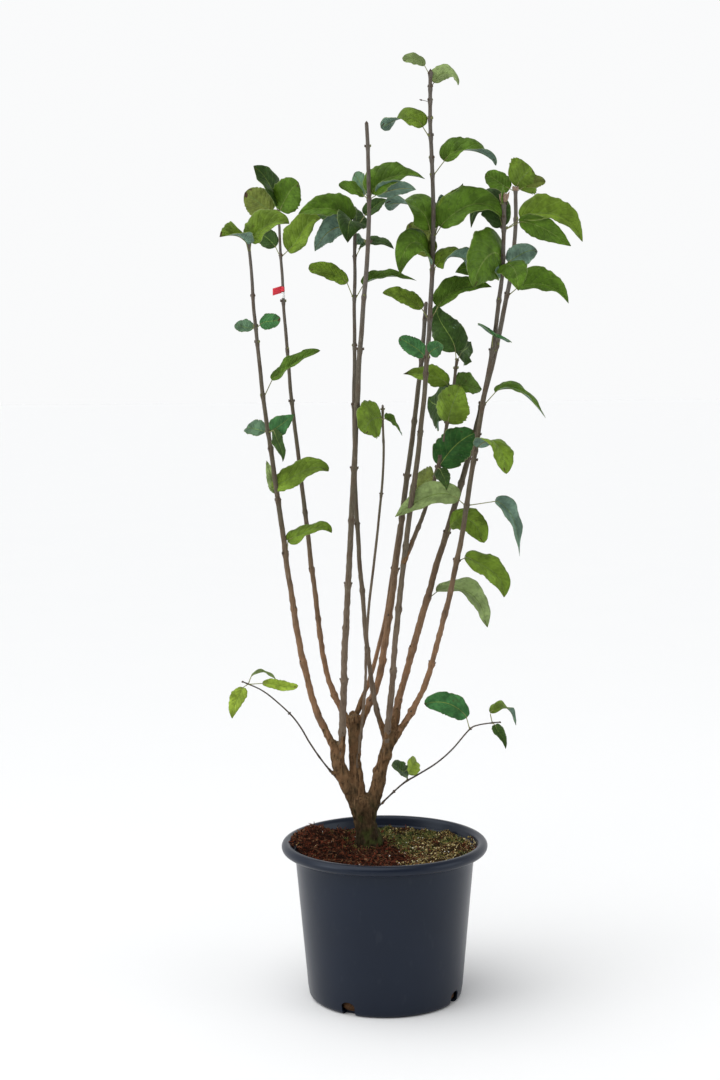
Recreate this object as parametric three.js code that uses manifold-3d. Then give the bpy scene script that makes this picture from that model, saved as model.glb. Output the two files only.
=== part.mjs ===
// A lilac bush in its pot: a short trunk forks low into three pruned boughs, slender canes rise from
// the boughs in an open vase, and small loose masses of leaves sit along the canes.
//
// Millimetres, +Z up. The origin is the centre of the pot's flat underside, and -Y is the front.

import * as THREE from 'three';
import { mergeVertices } from 'three/addons/utils/BufferGeometryUtils.js';
import Module from 'manifold-3d';

// ---- Driving dimensions ----

const GAP = 0.3; // clearance between pieces that touch

const POT = {
  height: 274.5, // to the crown of the rolled rim
  baseRadius: 134,
  shoulderRadius: 156, // outside of the wall, just under the rim
  shoulderHeight: 250,
  wall: 3,
  floor: 4,
  footBevel: 2,
  rimRadius: 170.5, // middle of the rolled rim
  rimRoll: 9, // radius of the roll
  sides: 30,
};

const DRAIN = { width: 25, height: 24, depth: 22, firstTurn: -120, count: 4 };

const SOIL = {
  level: 249, // flat round the trunk
  edgeRise: 3, // up at the wall
  dish: 6, // power of the rise, so that the middle stays flat
  sides: 15, // half of the pot's, so that every corner of the soil meets a corner of the wall
  rings: 4,
};

// Mulch heaped against the wall at the back left.
const HEAP = { turn: 145, offset: 120, halfWidth: 72, halfDepth: 42, rise: 20, sides: 12, rings: 6 };

const TRUNK = {
  route: [[-23, 53, 232], [-27, 51, 262], [-35, 50, 306], [-38, 50, 338]],
  footRadius: 29, // root flare at the soil
  neckRadius: 17.5,
  forkRadius: 20,
  forkSpread: 0.35, // how much wider than deep the fork is
  neckAt: 0.62, // share of the length from foot to neck
};

// Boughs and canes: the route of the middle line, and the diameters of the foot and the tip.
const BOUGHS = {
  bough_centre: {
    route: [[-41, 50, 322], [-45, 53, 368], [-50, 56, 404], [-53, 61, 483]],
    foot: 27, tip: 15,
  },
  bough_left: {
    route: [[-46, 50, 322], [-70, 46, 377], [-84, 42, 412], [-82, 40, 438]],
    foot: 27, tip: 21,
  },
  bough_right: {
    route: [[-31, 50, 322], [-9, 50, 366], [1, 50, 404], [17, 50, 454]],
    foot: 27, tip: 18,
  },
};

const CANES = {
  cane_1: {
    route: [[-83, 41, 424], [-100, 40, 442], [-120, 38, 497], [-134, 36, 551], [-157, 28, 693],
      [-179, 17, 869], [-197, 8, 1007], [-209, 0, 1109], [-222, -15, 1310]],
    foot: 9.5, tip: 5,
  },
  cane_2: {
    route: [[-53, 61, 458], [-82, 66, 481], [-96, 72, 527], [-116, 88, 685], [-140, 108, 897],
      [-162, 127, 1109], [-176, 150, 1372]],
    foot: 8.5, tip: 4.5,
  },
  cane_3: {
    route: [[-76, 42, 394], [-67, 24, 414], [-71, 15, 501], [-61, -8, 697], [-47, -43, 956],
      [-34, -75, 1173], [-24, -90, 1270], [-21, -101, 1338], [-25, -125, 1487]],
    foot: 11.5, tip: 5,
  },
  cane_4: {
    route: [[-48, 52, 372], [-44, 32, 423], [-33, 25, 495], [-27, 10, 659], [-12, -1, 782],
      [3, -16, 938], [1, -25, 1031]],
    foot: 4.4, tip: 2.8,
  },
  cane_5: {
    route: [[8, 50, 430], [-4, 42, 465], [-15, 43, 505], [-39, 49, 760], [-45, 51, 865],
      [-46, 54, 1004], [-42, 62, 1338]],
    foot: 8, tip: 4.5,
  },
  cane_6: {
    route: [[-50, 59, 450], [-27, 68, 473], [-15, 73, 497], [2, 87, 577], [26, 112, 735],
      [48, 135, 894], [69, 155, 1036], [87, 178, 1209]],
    foot: 12, tip: 6,
  },
  cane_7: {
    route: [[-2, 48, 392], [4, 28, 429], [12, 23, 499], [22, 14, 624], [45, -5, 834],
      [68, -21, 1005], [87, -53, 1329], [80, -72, 1498], [81, -80, 1576]],
    foot: 10, tip: 5,
  },
  cane_8: {
    route: [[15, 50, 444], [25, 56, 502], [59, 63, 616], [100, 72, 756], [144, 80, 896],
      [216, 98, 1176], [240, 106, 1307], [241, 112, 1404]],
    foot: 12, tip: 5.5,
  },
  cane_9: {
    route: [[12, 49, 434], [38, 42, 457], [67, 37, 513], [91, 30, 596], [130, 12, 762],
      [159, -10, 953], [185, -29, 1114], [204, -48, 1261], [203, -62, 1366]],
    foot: 9.5, tip: 5.5,
  },
  cane_10: {
    route: [[39, 1, 768], [50, 11, 789], [71, 29, 834], [98, 54, 916], [119, 76, 1002], [137, 100, 1107]],
    foot: 6.6, tip: 4,
  },
  cane_11: {
    route: [[-52, 63, 475], [-40, 82, 488], [-22, 106, 538], [7, 130, 630], [20, 147, 713], [36, 165, 811]],
    foot: 7, tip: 5,
  },
  twig_left: {
    route: [[-71, 44, 376], [-115, 22, 429], [-141, 1, 471], [-201, -33, 540], [-242, -45, 563]],
    foot: 3.4, tip: 2.4,
  },
  twig_right: {
    route: [[-30, 46, 312], [38, 25, 370], [94, 6, 411], [151, -23, 471], [198, -30, 486]],
    foot: 3.6, tip: 2.4,
  },
};

const CANE_STEP = 90; // length of a straight facet along a cane
const THIN_FOOT = 5; // a limb thinner than this at its foot has five sides

// Masses of leaves, from the top of each limb down. A mass sits on its limb at a height and holds
// sprays, each as [turn, rise, reach]: degrees round +Z from +X, degrees above level, and length.
const FOLIAGE = {
  cane_1: [
    { height: 1308, sprays: [[-128, 2, 74], [-17, 31, 84]] },
    { height: 1162, sprays: [[128, 9, 60], [-41, 16, 60]] },
    { height: 1047, sprays: [[0, 38, 125]] },
    { height: 986, sprays: [[121, 4, 77], [-50, 23, 79], [-68, -40, 76]] },
    { height: 863, sprays: [[-7, 32, 103], [126, 64, 80]] },
    { height: 774, sprays: [[-4, 29, 94]] },
  ],
  cane_2: [
    { height: 1368, sprays: [[-167, 62, 93], [-50, 41, 76], [147, 29, 83]] },
    { height: 1290, sprays: [[133, 35, 82], [-12, 42, 101]] },
  ],
  cane_3: [{ height: 1366, sprays: [[3, 20, 98], [-17, 10, 80], [-132, 13, 76], [111, 39, 80]] }],
  cane_4: [{ height: 1028, sprays: [[-121, -34, 77], [55, -40, 80]] }],
  cane_5: [
    {
      height: 1336,
      sprays: [[-174, 13, 100], [145, 5, 79], [-153, -29, 89], [-101, -24, 77], [85, 28, 78], [32, 37, 83]],
    },
    { height: 1284, sprays: [[-31, 9, 78], [77, 26, 77]] },
    { height: 1213, sprays: [[-173, 30, 92], [5, 16, 113]] },
  ],
  cane_7: [
    { height: 1574, sprays: [[-170, 30, 59], [35, 14, 60]] },
    { height: 1469, sprays: [[180, 12, 83]] },
    { height: 1410, sprays: [[-3, 8, 106]] },
    { height: 1306, sprays: [[-173, 38, 104], [-5, 35, 138], [59, 65, 84], [21, 60, 109]] },
    { height: 1250, sprays: [[-135, -4, 79], [116, 57, 82], [-32, 12, 77]] },
    { height: 1174, sprays: [[180, 26, 88], [0, 27, 117]] },
    { height: 1105, sprays: [[129, 25, 77], [-70, 18, 74]] },
  ],
  cane_8: [
    { height: 1399, sprays: [[-22, 63, 60], [24, 19, 64], [164, 31, 63]] },
    { height: 1218, sprays: [[0, -4, 108]] },
    { height: 803, sprays: [[-48, -10, 74]] },
    { height: 690, sprays: [[0, -27, 119]] },
  ],
  cane_9: [
    { height: 1361, sprays: [[-94, 45, 50]] },
    { height: 1320, sprays: [[0, -9, 132], [-18, -13, 115], [133, 6, 75]] },
    { height: 1261, sprays: [[-126, -21, 80], [173, -6, 81], [-73, -34, 76], [36, 24, 84]] },
    { height: 1119, sprays: [[44, 44, 83]] },
    { height: 1032, sprays: [[0, -13, 109]] },
    { height: 953, sprays: [[-40, -31, 75]] },
    { height: 859, sprays: [[0, -45, 128], [-175, -9, 126]] },
    { height: 762, sprays: [[-4, -39, 103]] },
  ],
  cane_10: [
    { height: 1105, sprays: [[151, 78, 98], [65, 26, 78]] },
    { height: 1050, sprays: [[180, 24, 95], [40, 26, 80]] },
    { height: 993, sprays: [[111, 20, 74], [-57, 61, 80]] },
    { height: 919, sprays: [[8, 42, 91], [-80, -28, 73], [138, -37, 80]] },
  ],
  twig_left: [{ height: 560, sprays: [[-107, -46, 71], [-6, -2, 90], [42, 2, 76]] }],
  twig_right: [
    { height: 484, sprays: [[57, -10, 80], [-86, -28, 69]] },
    { height: 470, sprays: [[-176, 31, 94]] },
    { height: 370, sprays: [[-113, 36, 84], [70, 17, 71]] },
  ],
};

const SPRAY = {
  widthShare: 0.3, // of the reach
  leastWidth: 20,
  depthShare: 0.5, // of the width
  sides: 4,
  rings: 3,
  unevenness: 0.18,
};

const HEART = { radius: 11, length: 17 }; // the short thick middle of a mass, round its limb

// ---- Materials ----

const finish = (color, roughness) => new THREE.MeshStandardMaterial({ color, roughness, metalness: 0 });
const FINISHES = {
  pot: () => finish(0x41464f, 0.55),
  soil: () => finish(0x4a2f20, 0.95),
  bark: () => finish(0x4a4030, 0.9),
  cane: () => finish(0x7c6a52, 0.75),
  leaf: () => finish(0x55782c, 0.6),
};

// ---- Solids ----

const wasm = await Module();
wasm.setup();

const radians = THREE.MathUtils.degToRad;

function solidOf(geometry) {
  const bare = geometry.index ? geometry.clone() : mergeVertices(geometry);
  bare.deleteAttribute('normal');
  bare.deleteAttribute('uv');
  const welded = mergeVertices(bare, 1e-3);
  const corners = welded.index.array;
  const triangles = [];
  for (let i = 0; i < corners.length; i += 3) {
    const [a, b, c] = corners.slice(i, i + 3);
    if (a !== b && b !== c && c !== a) triangles.push(a, b, c);
  }
  const vertProperties = Float32Array.from(welded.attributes.position.array);
  const triVerts = Uint32Array.from(triangles);
  return new wasm.Manifold(new wasm.Mesh({ numProp: 3, vertProperties, triVerts }));
}

function geometryOf(solid) {
  const { vertProperties, triVerts } = solid.getMesh();
  const geometry = new THREE.BufferGeometry();
  geometry.setAttribute('position', new THREE.BufferAttribute(Float32Array.from(vertProperties), 3));
  geometry.setIndex(new THREE.BufferAttribute(Uint32Array.from(triVerts), 1));
  geometry.computeVertexNormals();
  return geometry;
}

// The biggest loose piece, so that a cut leaves no crumbs.
function mainPiece(solid) {
  return solid.decompose().reduce((best, piece) => (piece.volume() > best.volume() ? piece : best));
}

const bush = new THREE.Group();

function addMesh(name, solid, material) {
  const mesh = new THREE.Mesh(geometryOf(mainPiece(solid)), material);
  mesh.name = name;
  bush.add(mesh);
}

// ---- Pot and soil ----

// Radius inside the pot's wall at a height.
function innerRadius(height) {
  const slope = (POT.shoulderRadius - POT.baseRadius) / POT.shoulderHeight;
  return POT.baseRadius + slope * height - POT.wall;
}

function potLathe(profile, sides) {
  const points = profile.map(([radius, height]) => new THREE.Vector2(radius, height));
  return solidOf(new THREE.LatheGeometry(points, sides).rotateX(Math.PI / 2));
}

function potSolid() {
  const rimHeight = POT.height - POT.rimRoll;
  const profile = [
    [0, 0],
    [POT.baseRadius - POT.footBevel, 0],
    [POT.baseRadius, POT.footBevel],
    [POT.shoulderRadius, POT.shoulderHeight],
  ];
  // The rolled rim goes round from under its outside, over the crown, to the inside.
  for (let turn = -115; turn <= 195; turn += 62) {
    const angle = radians(turn);
    profile.push([POT.rimRadius + POT.rimRoll * Math.cos(angle), rimHeight + POT.rimRoll * Math.sin(angle)]);
  }
  profile.push(
    [innerRadius(POT.shoulderHeight), POT.shoulderHeight],
    [innerRadius(POT.floor), POT.floor],
    [0, POT.floor],
  );
  let pot = potLathe(profile, POT.sides);
  for (let i = 0; i < DRAIN.count; i += 1) {
    pot = pot.subtract(drainCutter(DRAIN.firstTurn + (i * 360) / DRAIN.count));
  }
  return pot;
}

// An arch through the foot of the wall.
function drainCutter(turn) {
  const half = DRAIN.width / 2;
  const shoulder = DRAIN.height - half * 0.6;
  const arch = new THREE.Shape();
  arch.moveTo(-half, -2);
  arch.lineTo(half, -2);
  arch.lineTo(half, shoulder);
  arch.quadraticCurveTo(half, DRAIN.height, 0, DRAIN.height);
  arch.quadraticCurveTo(-half, DRAIN.height, -half, shoulder);
  const settings = { depth: DRAIN.depth, bevelEnabled: false, curveSegments: 3 };
  const cutter = new THREE.ExtrudeGeometry(arch, settings);
  cutter.rotateX(Math.PI / 2);
  cutter.translate(0, POT.baseRadius + DRAIN.depth / 2, 0); // the arch's depth runs back towards the axis
  cutter.rotateZ(radians(turn - 90));
  return solidOf(cutter);
}

// A drum inside the pot, with a slightly dished top; grow raises its top for cutting.
function soilSolid(grow = 0) {
  const bottom = POT.floor + GAP;
  const wall = innerRadius(SOIL.level) - GAP;
  const profile = [[0, bottom], [innerRadius(bottom) - GAP, bottom]];
  for (let ring = SOIL.rings; ring >= 0; ring -= 1) {
    const share = ring / SOIL.rings;
    profile.push([wall * share, SOIL.level + grow + SOIL.edgeRise * share ** SOIL.dish]);
  }
  return potLathe(profile, SOIL.sides);
}

// A mound cut to the inside of the wall and to the top of the soil.
function heapSolid() {
  const mound = new THREE.SphereGeometry(1, HEAP.sides, HEAP.rings);
  mound.rotateX(Math.PI / 2);
  mound.scale(HEAP.halfDepth, HEAP.halfWidth, HEAP.rise);
  mound.translate(HEAP.offset, 0, SOIL.level);
  mound.rotateZ(radians(HEAP.turn));
  const wall = innerRadius(SOIL.level) - 2 * GAP;
  const drum = [[0, SOIL.level], [wall, SOIL.level], [wall, POT.height], [0, POT.height]];
  const inside = potLathe(drum, SOIL.sides);
  return solidOf(mound).intersect(inside).subtract(soilSolid(GAP));
}

// ---- Limbs ----

function curveThrough(route) {
  return new THREE.CatmullRomCurve3(route.map((point) => new THREE.Vector3(...point)), false, 'centripetal');
}

// A round bar from foot to tip along a smooth route. spread widens it in X, and grow fattens it for cutting.
function limbSolid({ route, radiusAt, sides, steps, spreadAt = () => 1 }, grow = 0) {
  const curve = curveThrough(route);
  const { tangents, normals, binormals } = curve.computeFrenetFrames(steps, false);
  const bar = new THREE.CylinderGeometry(1, 1, 1, sides, steps);
  const position = bar.attributes.position;
  for (let i = 0; i < position.count; i += 1) {
    const step = Math.round((position.getY(i) + 0.5) * steps);
    const along = step / steps;
    const radius = radiusAt(along) + grow;
    const across = new THREE.Vector3()
      .addScaledVector(binormals[step], position.getX(i) * radius)
      .addScaledVector(normals[step], position.getZ(i) * radius);
    across.x *= spreadAt(along);
    const end = step === 0 ? -grow : step === steps ? grow : 0;
    const point = curve.getPointAt(along).add(across).addScaledVector(tangents[step], end);
    position.setXYZ(i, point.x, point.y, point.z);
  }
  return solidOf(bar);
}

function taper(foot, tip) {
  return (along) => THREE.MathUtils.lerp(foot, tip, along) / 2;
}

const trunkShape = {
  route: TRUNK.route,
  sides: 11,
  steps: 7,
  radiusAt(along) {
    const { footRadius, neckRadius, forkRadius, neckAt } = TRUNK;
    if (along < neckAt) return neckRadius + (footRadius - neckRadius) * (1 - along / neckAt) ** 2;
    return THREE.MathUtils.lerp(neckRadius, forkRadius, (along - neckAt) / (1 - neckAt));
  },
  spreadAt: (along) => 1 + TRUNK.forkSpread * THREE.MathUtils.smoothstep(along, TRUNK.neckAt, 1),
};

const limbs = { trunk: trunkShape };
for (const [name, { route, foot, tip }] of Object.entries(BOUGHS)) {
  limbs[name] = { route, radiusAt: taper(foot, tip), sides: 9, steps: 5 };
}
for (const [name, { route, foot, tip }] of Object.entries(CANES)) {
  const steps = Math.max(6, Math.round(curveThrough(route).getLength() / CANE_STEP));
  limbs[name] = { route, radiusAt: taper(foot, tip), sides: foot > THIN_FOOT ? 6 : 5, steps };
}
const fatLimbs = {};
for (const [name, limb] of Object.entries(limbs)) fatLimbs[name] = limbSolid(limb, GAP);

function trunkSolid() {
  const ground = new THREE.BoxGeometry(200, 200, 100);
  ground.translate(TRUNK.route[0][0], TRUNK.route[0][1], SOIL.level + 2 * GAP - 50);
  return limbSolid(limbs.trunk).subtract(solidOf(ground));
}

// ---- Leaves ----

// The point on a limb's middle line at a height.
function pointAtHeight(name, height) {
  return curveThrough(limbs[name].route).getSpacedPoints(400).reduce((best, point) => (
    Math.abs(point.z - height) < Math.abs(best.z - height) ? point : best));
}

// A lens-shaped lobe from a root point out to its tip, with lumps that no two lobes share.
function lobeSolid(root, [turn, rise, reach], grow) {
  const width = Math.max(SPRAY.leastWidth, reach * SPRAY.widthShare);
  const level = Math.cos(radians(rise));
  const ahead = new THREE.Vector3(Math.cos(radians(turn)), Math.sin(radians(turn)), 0);
  const out = ahead.clone().multiplyScalar(level).setZ(Math.sin(radians(rise)));
  const side = new THREE.Vector3(-ahead.y, ahead.x, 0);
  const up = new THREE.Vector3().crossVectors(side, out);
  const lobe = new THREE.SphereGeometry(1, SPRAY.sides, SPRAY.rings);
  const position = lobe.attributes.position;
  for (let i = 0; i < position.count; i += 1) {
    const [x, y, z] = [position.getX(i), position.getY(i), position.getZ(i)];
    const lump = 1 + SPRAY.unevenness * Math.sin(3 * Math.atan2(z, x) + turn + 2 * y) * (1 - y * y);
    position.setXYZ(i, x * lump, y, z * lump);
  }
  const half = new THREE.Vector3(width / 2 + grow, reach / 2 + grow, (width * SPRAY.depthShare) / 2 + grow);
  lobe.applyMatrix4(new THREE.Matrix4().makeBasis(
    side.multiplyScalar(half.x), out.clone().multiplyScalar(half.y), up.multiplyScalar(half.z)));
  const middle = root.clone().addScaledVector(out, reach / 2);
  lobe.translate(middle.x, middle.y, middle.z);
  return solidOf(lobe);
}

function massSolid({ root, sprays }, grow = 0) {
  const heart = new THREE.SphereGeometry(1, 5, 3);
  heart.rotateX(Math.PI / 2);
  heart.scale(HEART.radius + grow, HEART.radius + grow, HEART.length + grow);
  heart.translate(root.x, root.y, root.z);
  return sprays.reduce((mass, spray) => mass.add(lobeSolid(root, spray, grow)), solidOf(heart));
}

function overlaps(a, b) {
  return [0, 1, 2].every((axis) => a.min[axis] < b.max[axis] && b.min[axis] < a.max[axis]);
}

// ---- The bush ----

addMesh('pot', potSolid(), FINISHES.pot());
addMesh('soil', soilSolid(), FINISHES.soil());
addMesh('mulch_heap', heapSolid(), FINISHES.soil());
addMesh('trunk', trunkSolid(), FINISHES.bark());

const boughNames = Object.keys(BOUGHS);
boughNames.forEach((name, rank) => {
  const cutters = ['trunk', ...boughNames.slice(0, rank)];
  const bough = cutters.reduce((solid, other) => solid.subtract(fatLimbs[other]), limbSolid(limbs[name]));
  addMesh(name, bough, FINISHES.bark());
});

Object.keys(CANES).forEach((name, rank, names) => {
  const cutters = ['trunk', ...boughNames, ...names.slice(0, rank)];
  const cane = cutters.reduce((solid, other) => solid.subtract(fatLimbs[other]), limbSolid(limbs[name]));
  addMesh(name, cane, FINISHES.cane());
});

const masses = [];
for (const [limb, levels] of Object.entries(FOLIAGE)) {
  levels.forEach(({ height, sprays }, level) => {
    masses.push({ name: `foliage_${limb}_${level + 1}`, root: pointAtHeight(limb, height), sprays });
  });
}
const fatMasses = masses.map((mass) => massSolid(mass, GAP));
masses.forEach((mass, rank) => {
  const cutters = [...Object.values(fatLimbs), ...fatMasses.slice(0, rank)];
  const whole = massSolid(mass);
  const box = whole.boundingBox();
  const solid = cutters
    .filter((other) => overlaps(box, other.boundingBox()))
    .reduce((left, other) => left.subtract(other), whole);
  addMesh(mass.name, solid, FINISHES.leaf());
});

export default bush;
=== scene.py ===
import math
import zlib

import bpy
import numpy as np
from mathutils import Matrix, Vector


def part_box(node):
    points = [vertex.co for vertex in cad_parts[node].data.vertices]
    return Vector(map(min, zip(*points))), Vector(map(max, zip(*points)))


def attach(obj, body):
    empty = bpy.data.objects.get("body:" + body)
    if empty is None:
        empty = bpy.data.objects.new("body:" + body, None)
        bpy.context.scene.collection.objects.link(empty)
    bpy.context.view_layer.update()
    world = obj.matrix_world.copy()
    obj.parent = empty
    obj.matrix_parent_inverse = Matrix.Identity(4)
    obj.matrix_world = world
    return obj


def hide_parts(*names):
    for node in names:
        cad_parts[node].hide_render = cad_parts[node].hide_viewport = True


# A lilac bush in its pot. Metres, +Z up, the pot's flat underside at the origin, the front towards -Y.
# Limbs and the places of leaves are read from the frame's solids, and fine surfaces grow on them.

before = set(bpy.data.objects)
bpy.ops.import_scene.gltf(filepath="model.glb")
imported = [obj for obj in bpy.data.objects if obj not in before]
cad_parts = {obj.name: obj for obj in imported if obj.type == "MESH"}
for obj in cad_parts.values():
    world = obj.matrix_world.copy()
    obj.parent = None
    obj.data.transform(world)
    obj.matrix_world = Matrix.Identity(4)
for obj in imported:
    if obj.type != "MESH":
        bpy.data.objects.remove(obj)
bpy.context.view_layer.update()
print("frame loaded:", len(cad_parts), "nodes")

# Small maths

hashSteps = np.array([73856093, 19349663, 83492791])  # large primes that mix a cell's whole numbers
hashMix, seedStep = 1274126177, 7919


def unit(vectors):
    return vectors / np.maximum(np.linalg.norm(vectors, axis=-1, keepdims=True), 1e-12)


def lengths(vectors):
    return np.linalg.norm(vectors, axis=-1)


def seeded(name):
    return np.random.default_rng(zlib.crc32(name.encode()))


# Smooth noise from -1 to 1: random numbers at the corners of cells of the given size, blended
# between the eight corners round each point with the weights 3t² - 2t³.
def noise(points, size, seed=0):
    place = points / size
    cell = np.floor(place).astype(np.int64)
    part = place - cell
    part = part * part * (3 - 2 * part)
    total = np.zeros(len(points))
    for corner in np.ndindex(2, 2, 2):
        key = (cell + corner) @ hashSteps + seed * seedStep
        key = (key ^ (key >> 13)) * hashMix
        value = ((key ^ (key >> 16)) & 65535) / 32767.5 - 1
        total += value * np.where(corner, part, 1 - part).prod(axis=1)
    return total


# Layers of noise, each at half the size and half the strength of the one before.
def roughNoise(points, size, layers, seed=0):
    return sum(noise(points, np.asarray(size) / 2 ** n, seed + n) / 2 ** n for n in range(layers))


def smoothStep(low, high, values):
    share = np.clip((values - low) / (high - low), 0, 1)
    return share * share * (3 - 2 * share)


# A smooth line through the points, evenly spaced: Catmull-Rom pieces, then equal steps of length.
def smoothLine(points, spacing):
    before = 2 * points[0] - points[1]
    after = 2 * points[-1] - points[-2]
    p = np.vstack([before, points, after])
    t = np.linspace(0, 1, 12, endpoint=False)[None, :, None]
    a, b, c, d = (p[n:len(p) - 3 + n][:, None] for n in range(4))
    cubic = (3 * b - a - 3 * c + d) * t ** 3
    dense = 0.5 * (2 * b + (c - a) * t + (2 * a - 5 * b + 4 * c - d) * t ** 2 + cubic)
    return evenLine(np.vstack([dense.reshape(-1, p.shape[1]), points[-1]]), spacing)


# How far each point of a line is from its start, along the line.
def runAlong(line):
    return np.concatenate([[0], np.cumsum(lengths(np.diff(line[:, :3], axis=0)))])


# The values of each column at the places asked for, between those known at the given places.
def sample(places, known, columns):
    return np.stack([np.interp(places, known, column) for column in columns.T], axis=-1)


def evenLine(points, spacing):
    run = runAlong(points)
    return sample(np.linspace(0, run[-1], max(3, int(run[-1] / spacing) + 1)), run, points)


# Each point drawn halfway to the middle of its two neighbours, as often as rounds says.
def softened(line, rounds):
    for _ in range(rounds):
        line[1:-1] = (line[:-2] + 2 * line[1:-1] + line[2:]) / 4
    return line


def turnsOf(count):
    return np.arange(count) * 2 * np.pi / count


# Level rings: each radius turned round +Z in equal steps.
def spun(radii, columns):
    turn = turnsOf(columns)
    return radii[:, None, None] * np.stack([np.cos(turn), np.sin(turn)], axis=-1)


# The direction at an angle between two that stand square to each other.
def aimed(angle, across, over):
    return np.cos(angle) * across + np.sin(angle) * over


# Surfaces. A patch holds points, faces of four corners (a triangle repeats its last one), the
# material slot of each face, and a uv for each point.

def patch(points, faces, slots=0, uv=None):
    slots = np.broadcast_to(slots, len(faces))
    uv = np.zeros((len(points), 2)) if uv is None else uv
    return {"points": points, "faces": faces, "slots": slots, "uv": uv}


# Quads over a grid of points. wrap joins the last column to the first.
def gridFaces(rows, columns, wrap=False):
    index = np.arange(rows * columns).reshape(rows, columns)
    if wrap:
        index = np.hstack([index, index[:, :1]])
    corners = [index[:-1, :-1], index[:-1, 1:], index[1:, 1:], index[1:, :-1]]
    return np.stack(corners, axis=-1).reshape(-1, 4)


# A grid that closes on itself, and a fan round each of the two poles that follow its points.
def closedFaces(rows, columns):
    here = np.arange(columns)
    there = np.roll(here, -1)
    foot, last = np.full(columns, rows * columns), (rows - 1) * columns
    return np.vstack([
        gridFaces(rows, columns, wrap=True),
        np.stack([foot, there, here, here], axis=1),
        np.stack([foot + 1, here + last, there + last, there + last], axis=1),
    ])


def joined(patches):
    counts = [len(p["points"]) for p in patches]
    starts = np.concatenate([[0], np.cumsum(counts)[:-1]]).astype(int)
    faces = np.concatenate([p["faces"] + start for p, start in zip(patches, starts)])
    points, slots, uv = (np.concatenate([p[key] for p in patches]) for key in ("points", "slots", "uv"))
    return patch(points, faces, slots, uv)


def makeMesh(name, whole, smooth=True):
    faces = whole["faces"]
    isTriangle = faces[:, 2] == faces[:, 3]
    kept = np.ones(faces.shape, bool)
    kept[isTriangle, 3] = False
    corners = faces[kept].astype(np.int32)
    sizes = np.where(isTriangle, 3, 4)
    mesh = bpy.data.meshes.new(name)
    mesh.vertices.add(len(whole["points"]))
    mesh.vertices.foreach_set("co", whole["points"].astype(np.float32).ravel())
    mesh.loops.add(len(corners))
    mesh.loops.foreach_set("vertex_index", corners)
    mesh.polygons.add(len(faces))
    mesh.polygons.foreach_set("loop_start", (np.cumsum(sizes) - sizes).astype(np.int32))
    mesh.polygons.foreach_set("material_index", whole["slots"].astype(np.int32))
    mesh.polygons.foreach_set("use_smooth", np.full(len(faces), smooth))
    mesh.update(calc_edges=True)
    layer = mesh.uv_layers.new(name="along")
    layer.data.foreach_set("uv", whole["uv"][corners].astype(np.float32).ravel())
    mesh.validate()
    return mesh


def addPiece(name, patches, materials, replaced=(), smooth=True):
    mesh = makeMesh(name, joined(patches), smooth)
    addObject(name, mesh, materials, replaced)


def placed(name, data):
    piece = bpy.data.objects.new(name, data)
    bpy.context.scene.collection.objects.link(piece)
    return piece


def addObject(name, mesh, materials, replaced=()):
    for material in materials:
        mesh.materials.append(material)
    piece = placed(name, mesh)
    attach(piece, "root")
    if replaced:
        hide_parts(*replaced)


# Directions along a line: its tangent, and two that stand square to it and to each other.
def directionsAlong(line):
    tangent = unit(np.gradient(line, axis=0))
    guide = np.eye(3)[np.argmin(np.abs(line[-1] - line[0]))]
    across = unit(np.cross(guide, tangent))
    return tangent, across, np.cross(tangent, across)


# A closed tube: each point is line + r (cos a × across + sin a × over), and both ends meet in a pole
# that stands out by blunt times the radius.
def tube(line, radii, sides, slot=0, blunt=0.3):
    tangent, across, over = directionsAlong(line)
    turn = turnsOf(sides)
    radii = np.broadcast_to(np.reshape(radii, (len(line), -1)), (len(line), sides))
    walls = line[:, None] + radii[..., None] * aimed(turn[:, None], across[:, None], over[:, None])
    footPole = line[0] - tangent[0] * radii[0].mean() * blunt
    tipPole = line[-1] + tangent[-1] * radii[-1].mean() * blunt
    run = runAlong(line)
    uv = np.stack(np.broadcast_arrays(run[:, None], turn / (2 * np.pi)), axis=-1).reshape(-1, 2)
    points = np.vstack([walls.reshape(-1, 3), footPole, tipPole])
    return patch(points, closedFaces(len(line), sides), slot, np.vstack([uv, [[0, 0], [run[-1], 0]]]))


# A thin closed shell: the grid's points, the same points carried down by the thickness against the side
# that up shows, and a rim between them. Faces come as upper sheet, lower sheet, rim.
def closedSheet(grid, up, thickness, uv=None):
    rows, columns = grid.shape[:2]
    normal = np.cross(np.gradient(grid, axis=0), np.gradient(grid, axis=1))
    flip = (normal * up).sum() < 0
    facing = unit(-normal if flip else normal)
    under = grid - facing * np.broadcast_to(thickness, (rows, columns))[..., None]
    count = rows * columns
    index = np.arange(count).reshape(rows, columns)
    sheet = gridFaces(rows, columns)
    border = np.concatenate([index[0], index[1:, -1], index[-1, -2::-1], index[-2:0:-1, 0]])
    after = np.roll(border, -1)
    rim = np.stack([border, border + count, after + count, after], axis=1)
    if not flip:
        sheet, rim = sheet[:, ::-1], rim[:, ::-1]
    points = np.vstack([grid.reshape(-1, 3), under.reshape(-1, 3)])
    uv = None if uv is None else np.vstack([uv, uv])
    return patch(points, np.vstack([sheet, sheet[:, ::-1] + count, rim]), 0, uv)


# Reading meshes

def readAll(items, field, width=3, kind=float):
    values = np.empty(len(items) * width, kind)
    items.foreach_get(field, values)
    return values.reshape(-1, width)


def nodeMesh(node):
    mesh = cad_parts[node].data
    triangles = readAll(mesh.polygons, "vertices", kind=int)
    points, back = np.unique(readAll(mesh.vertices, "co").round(6), axis=0, return_inverse=True)
    return points, back.reshape(-1)[triangles]


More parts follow.
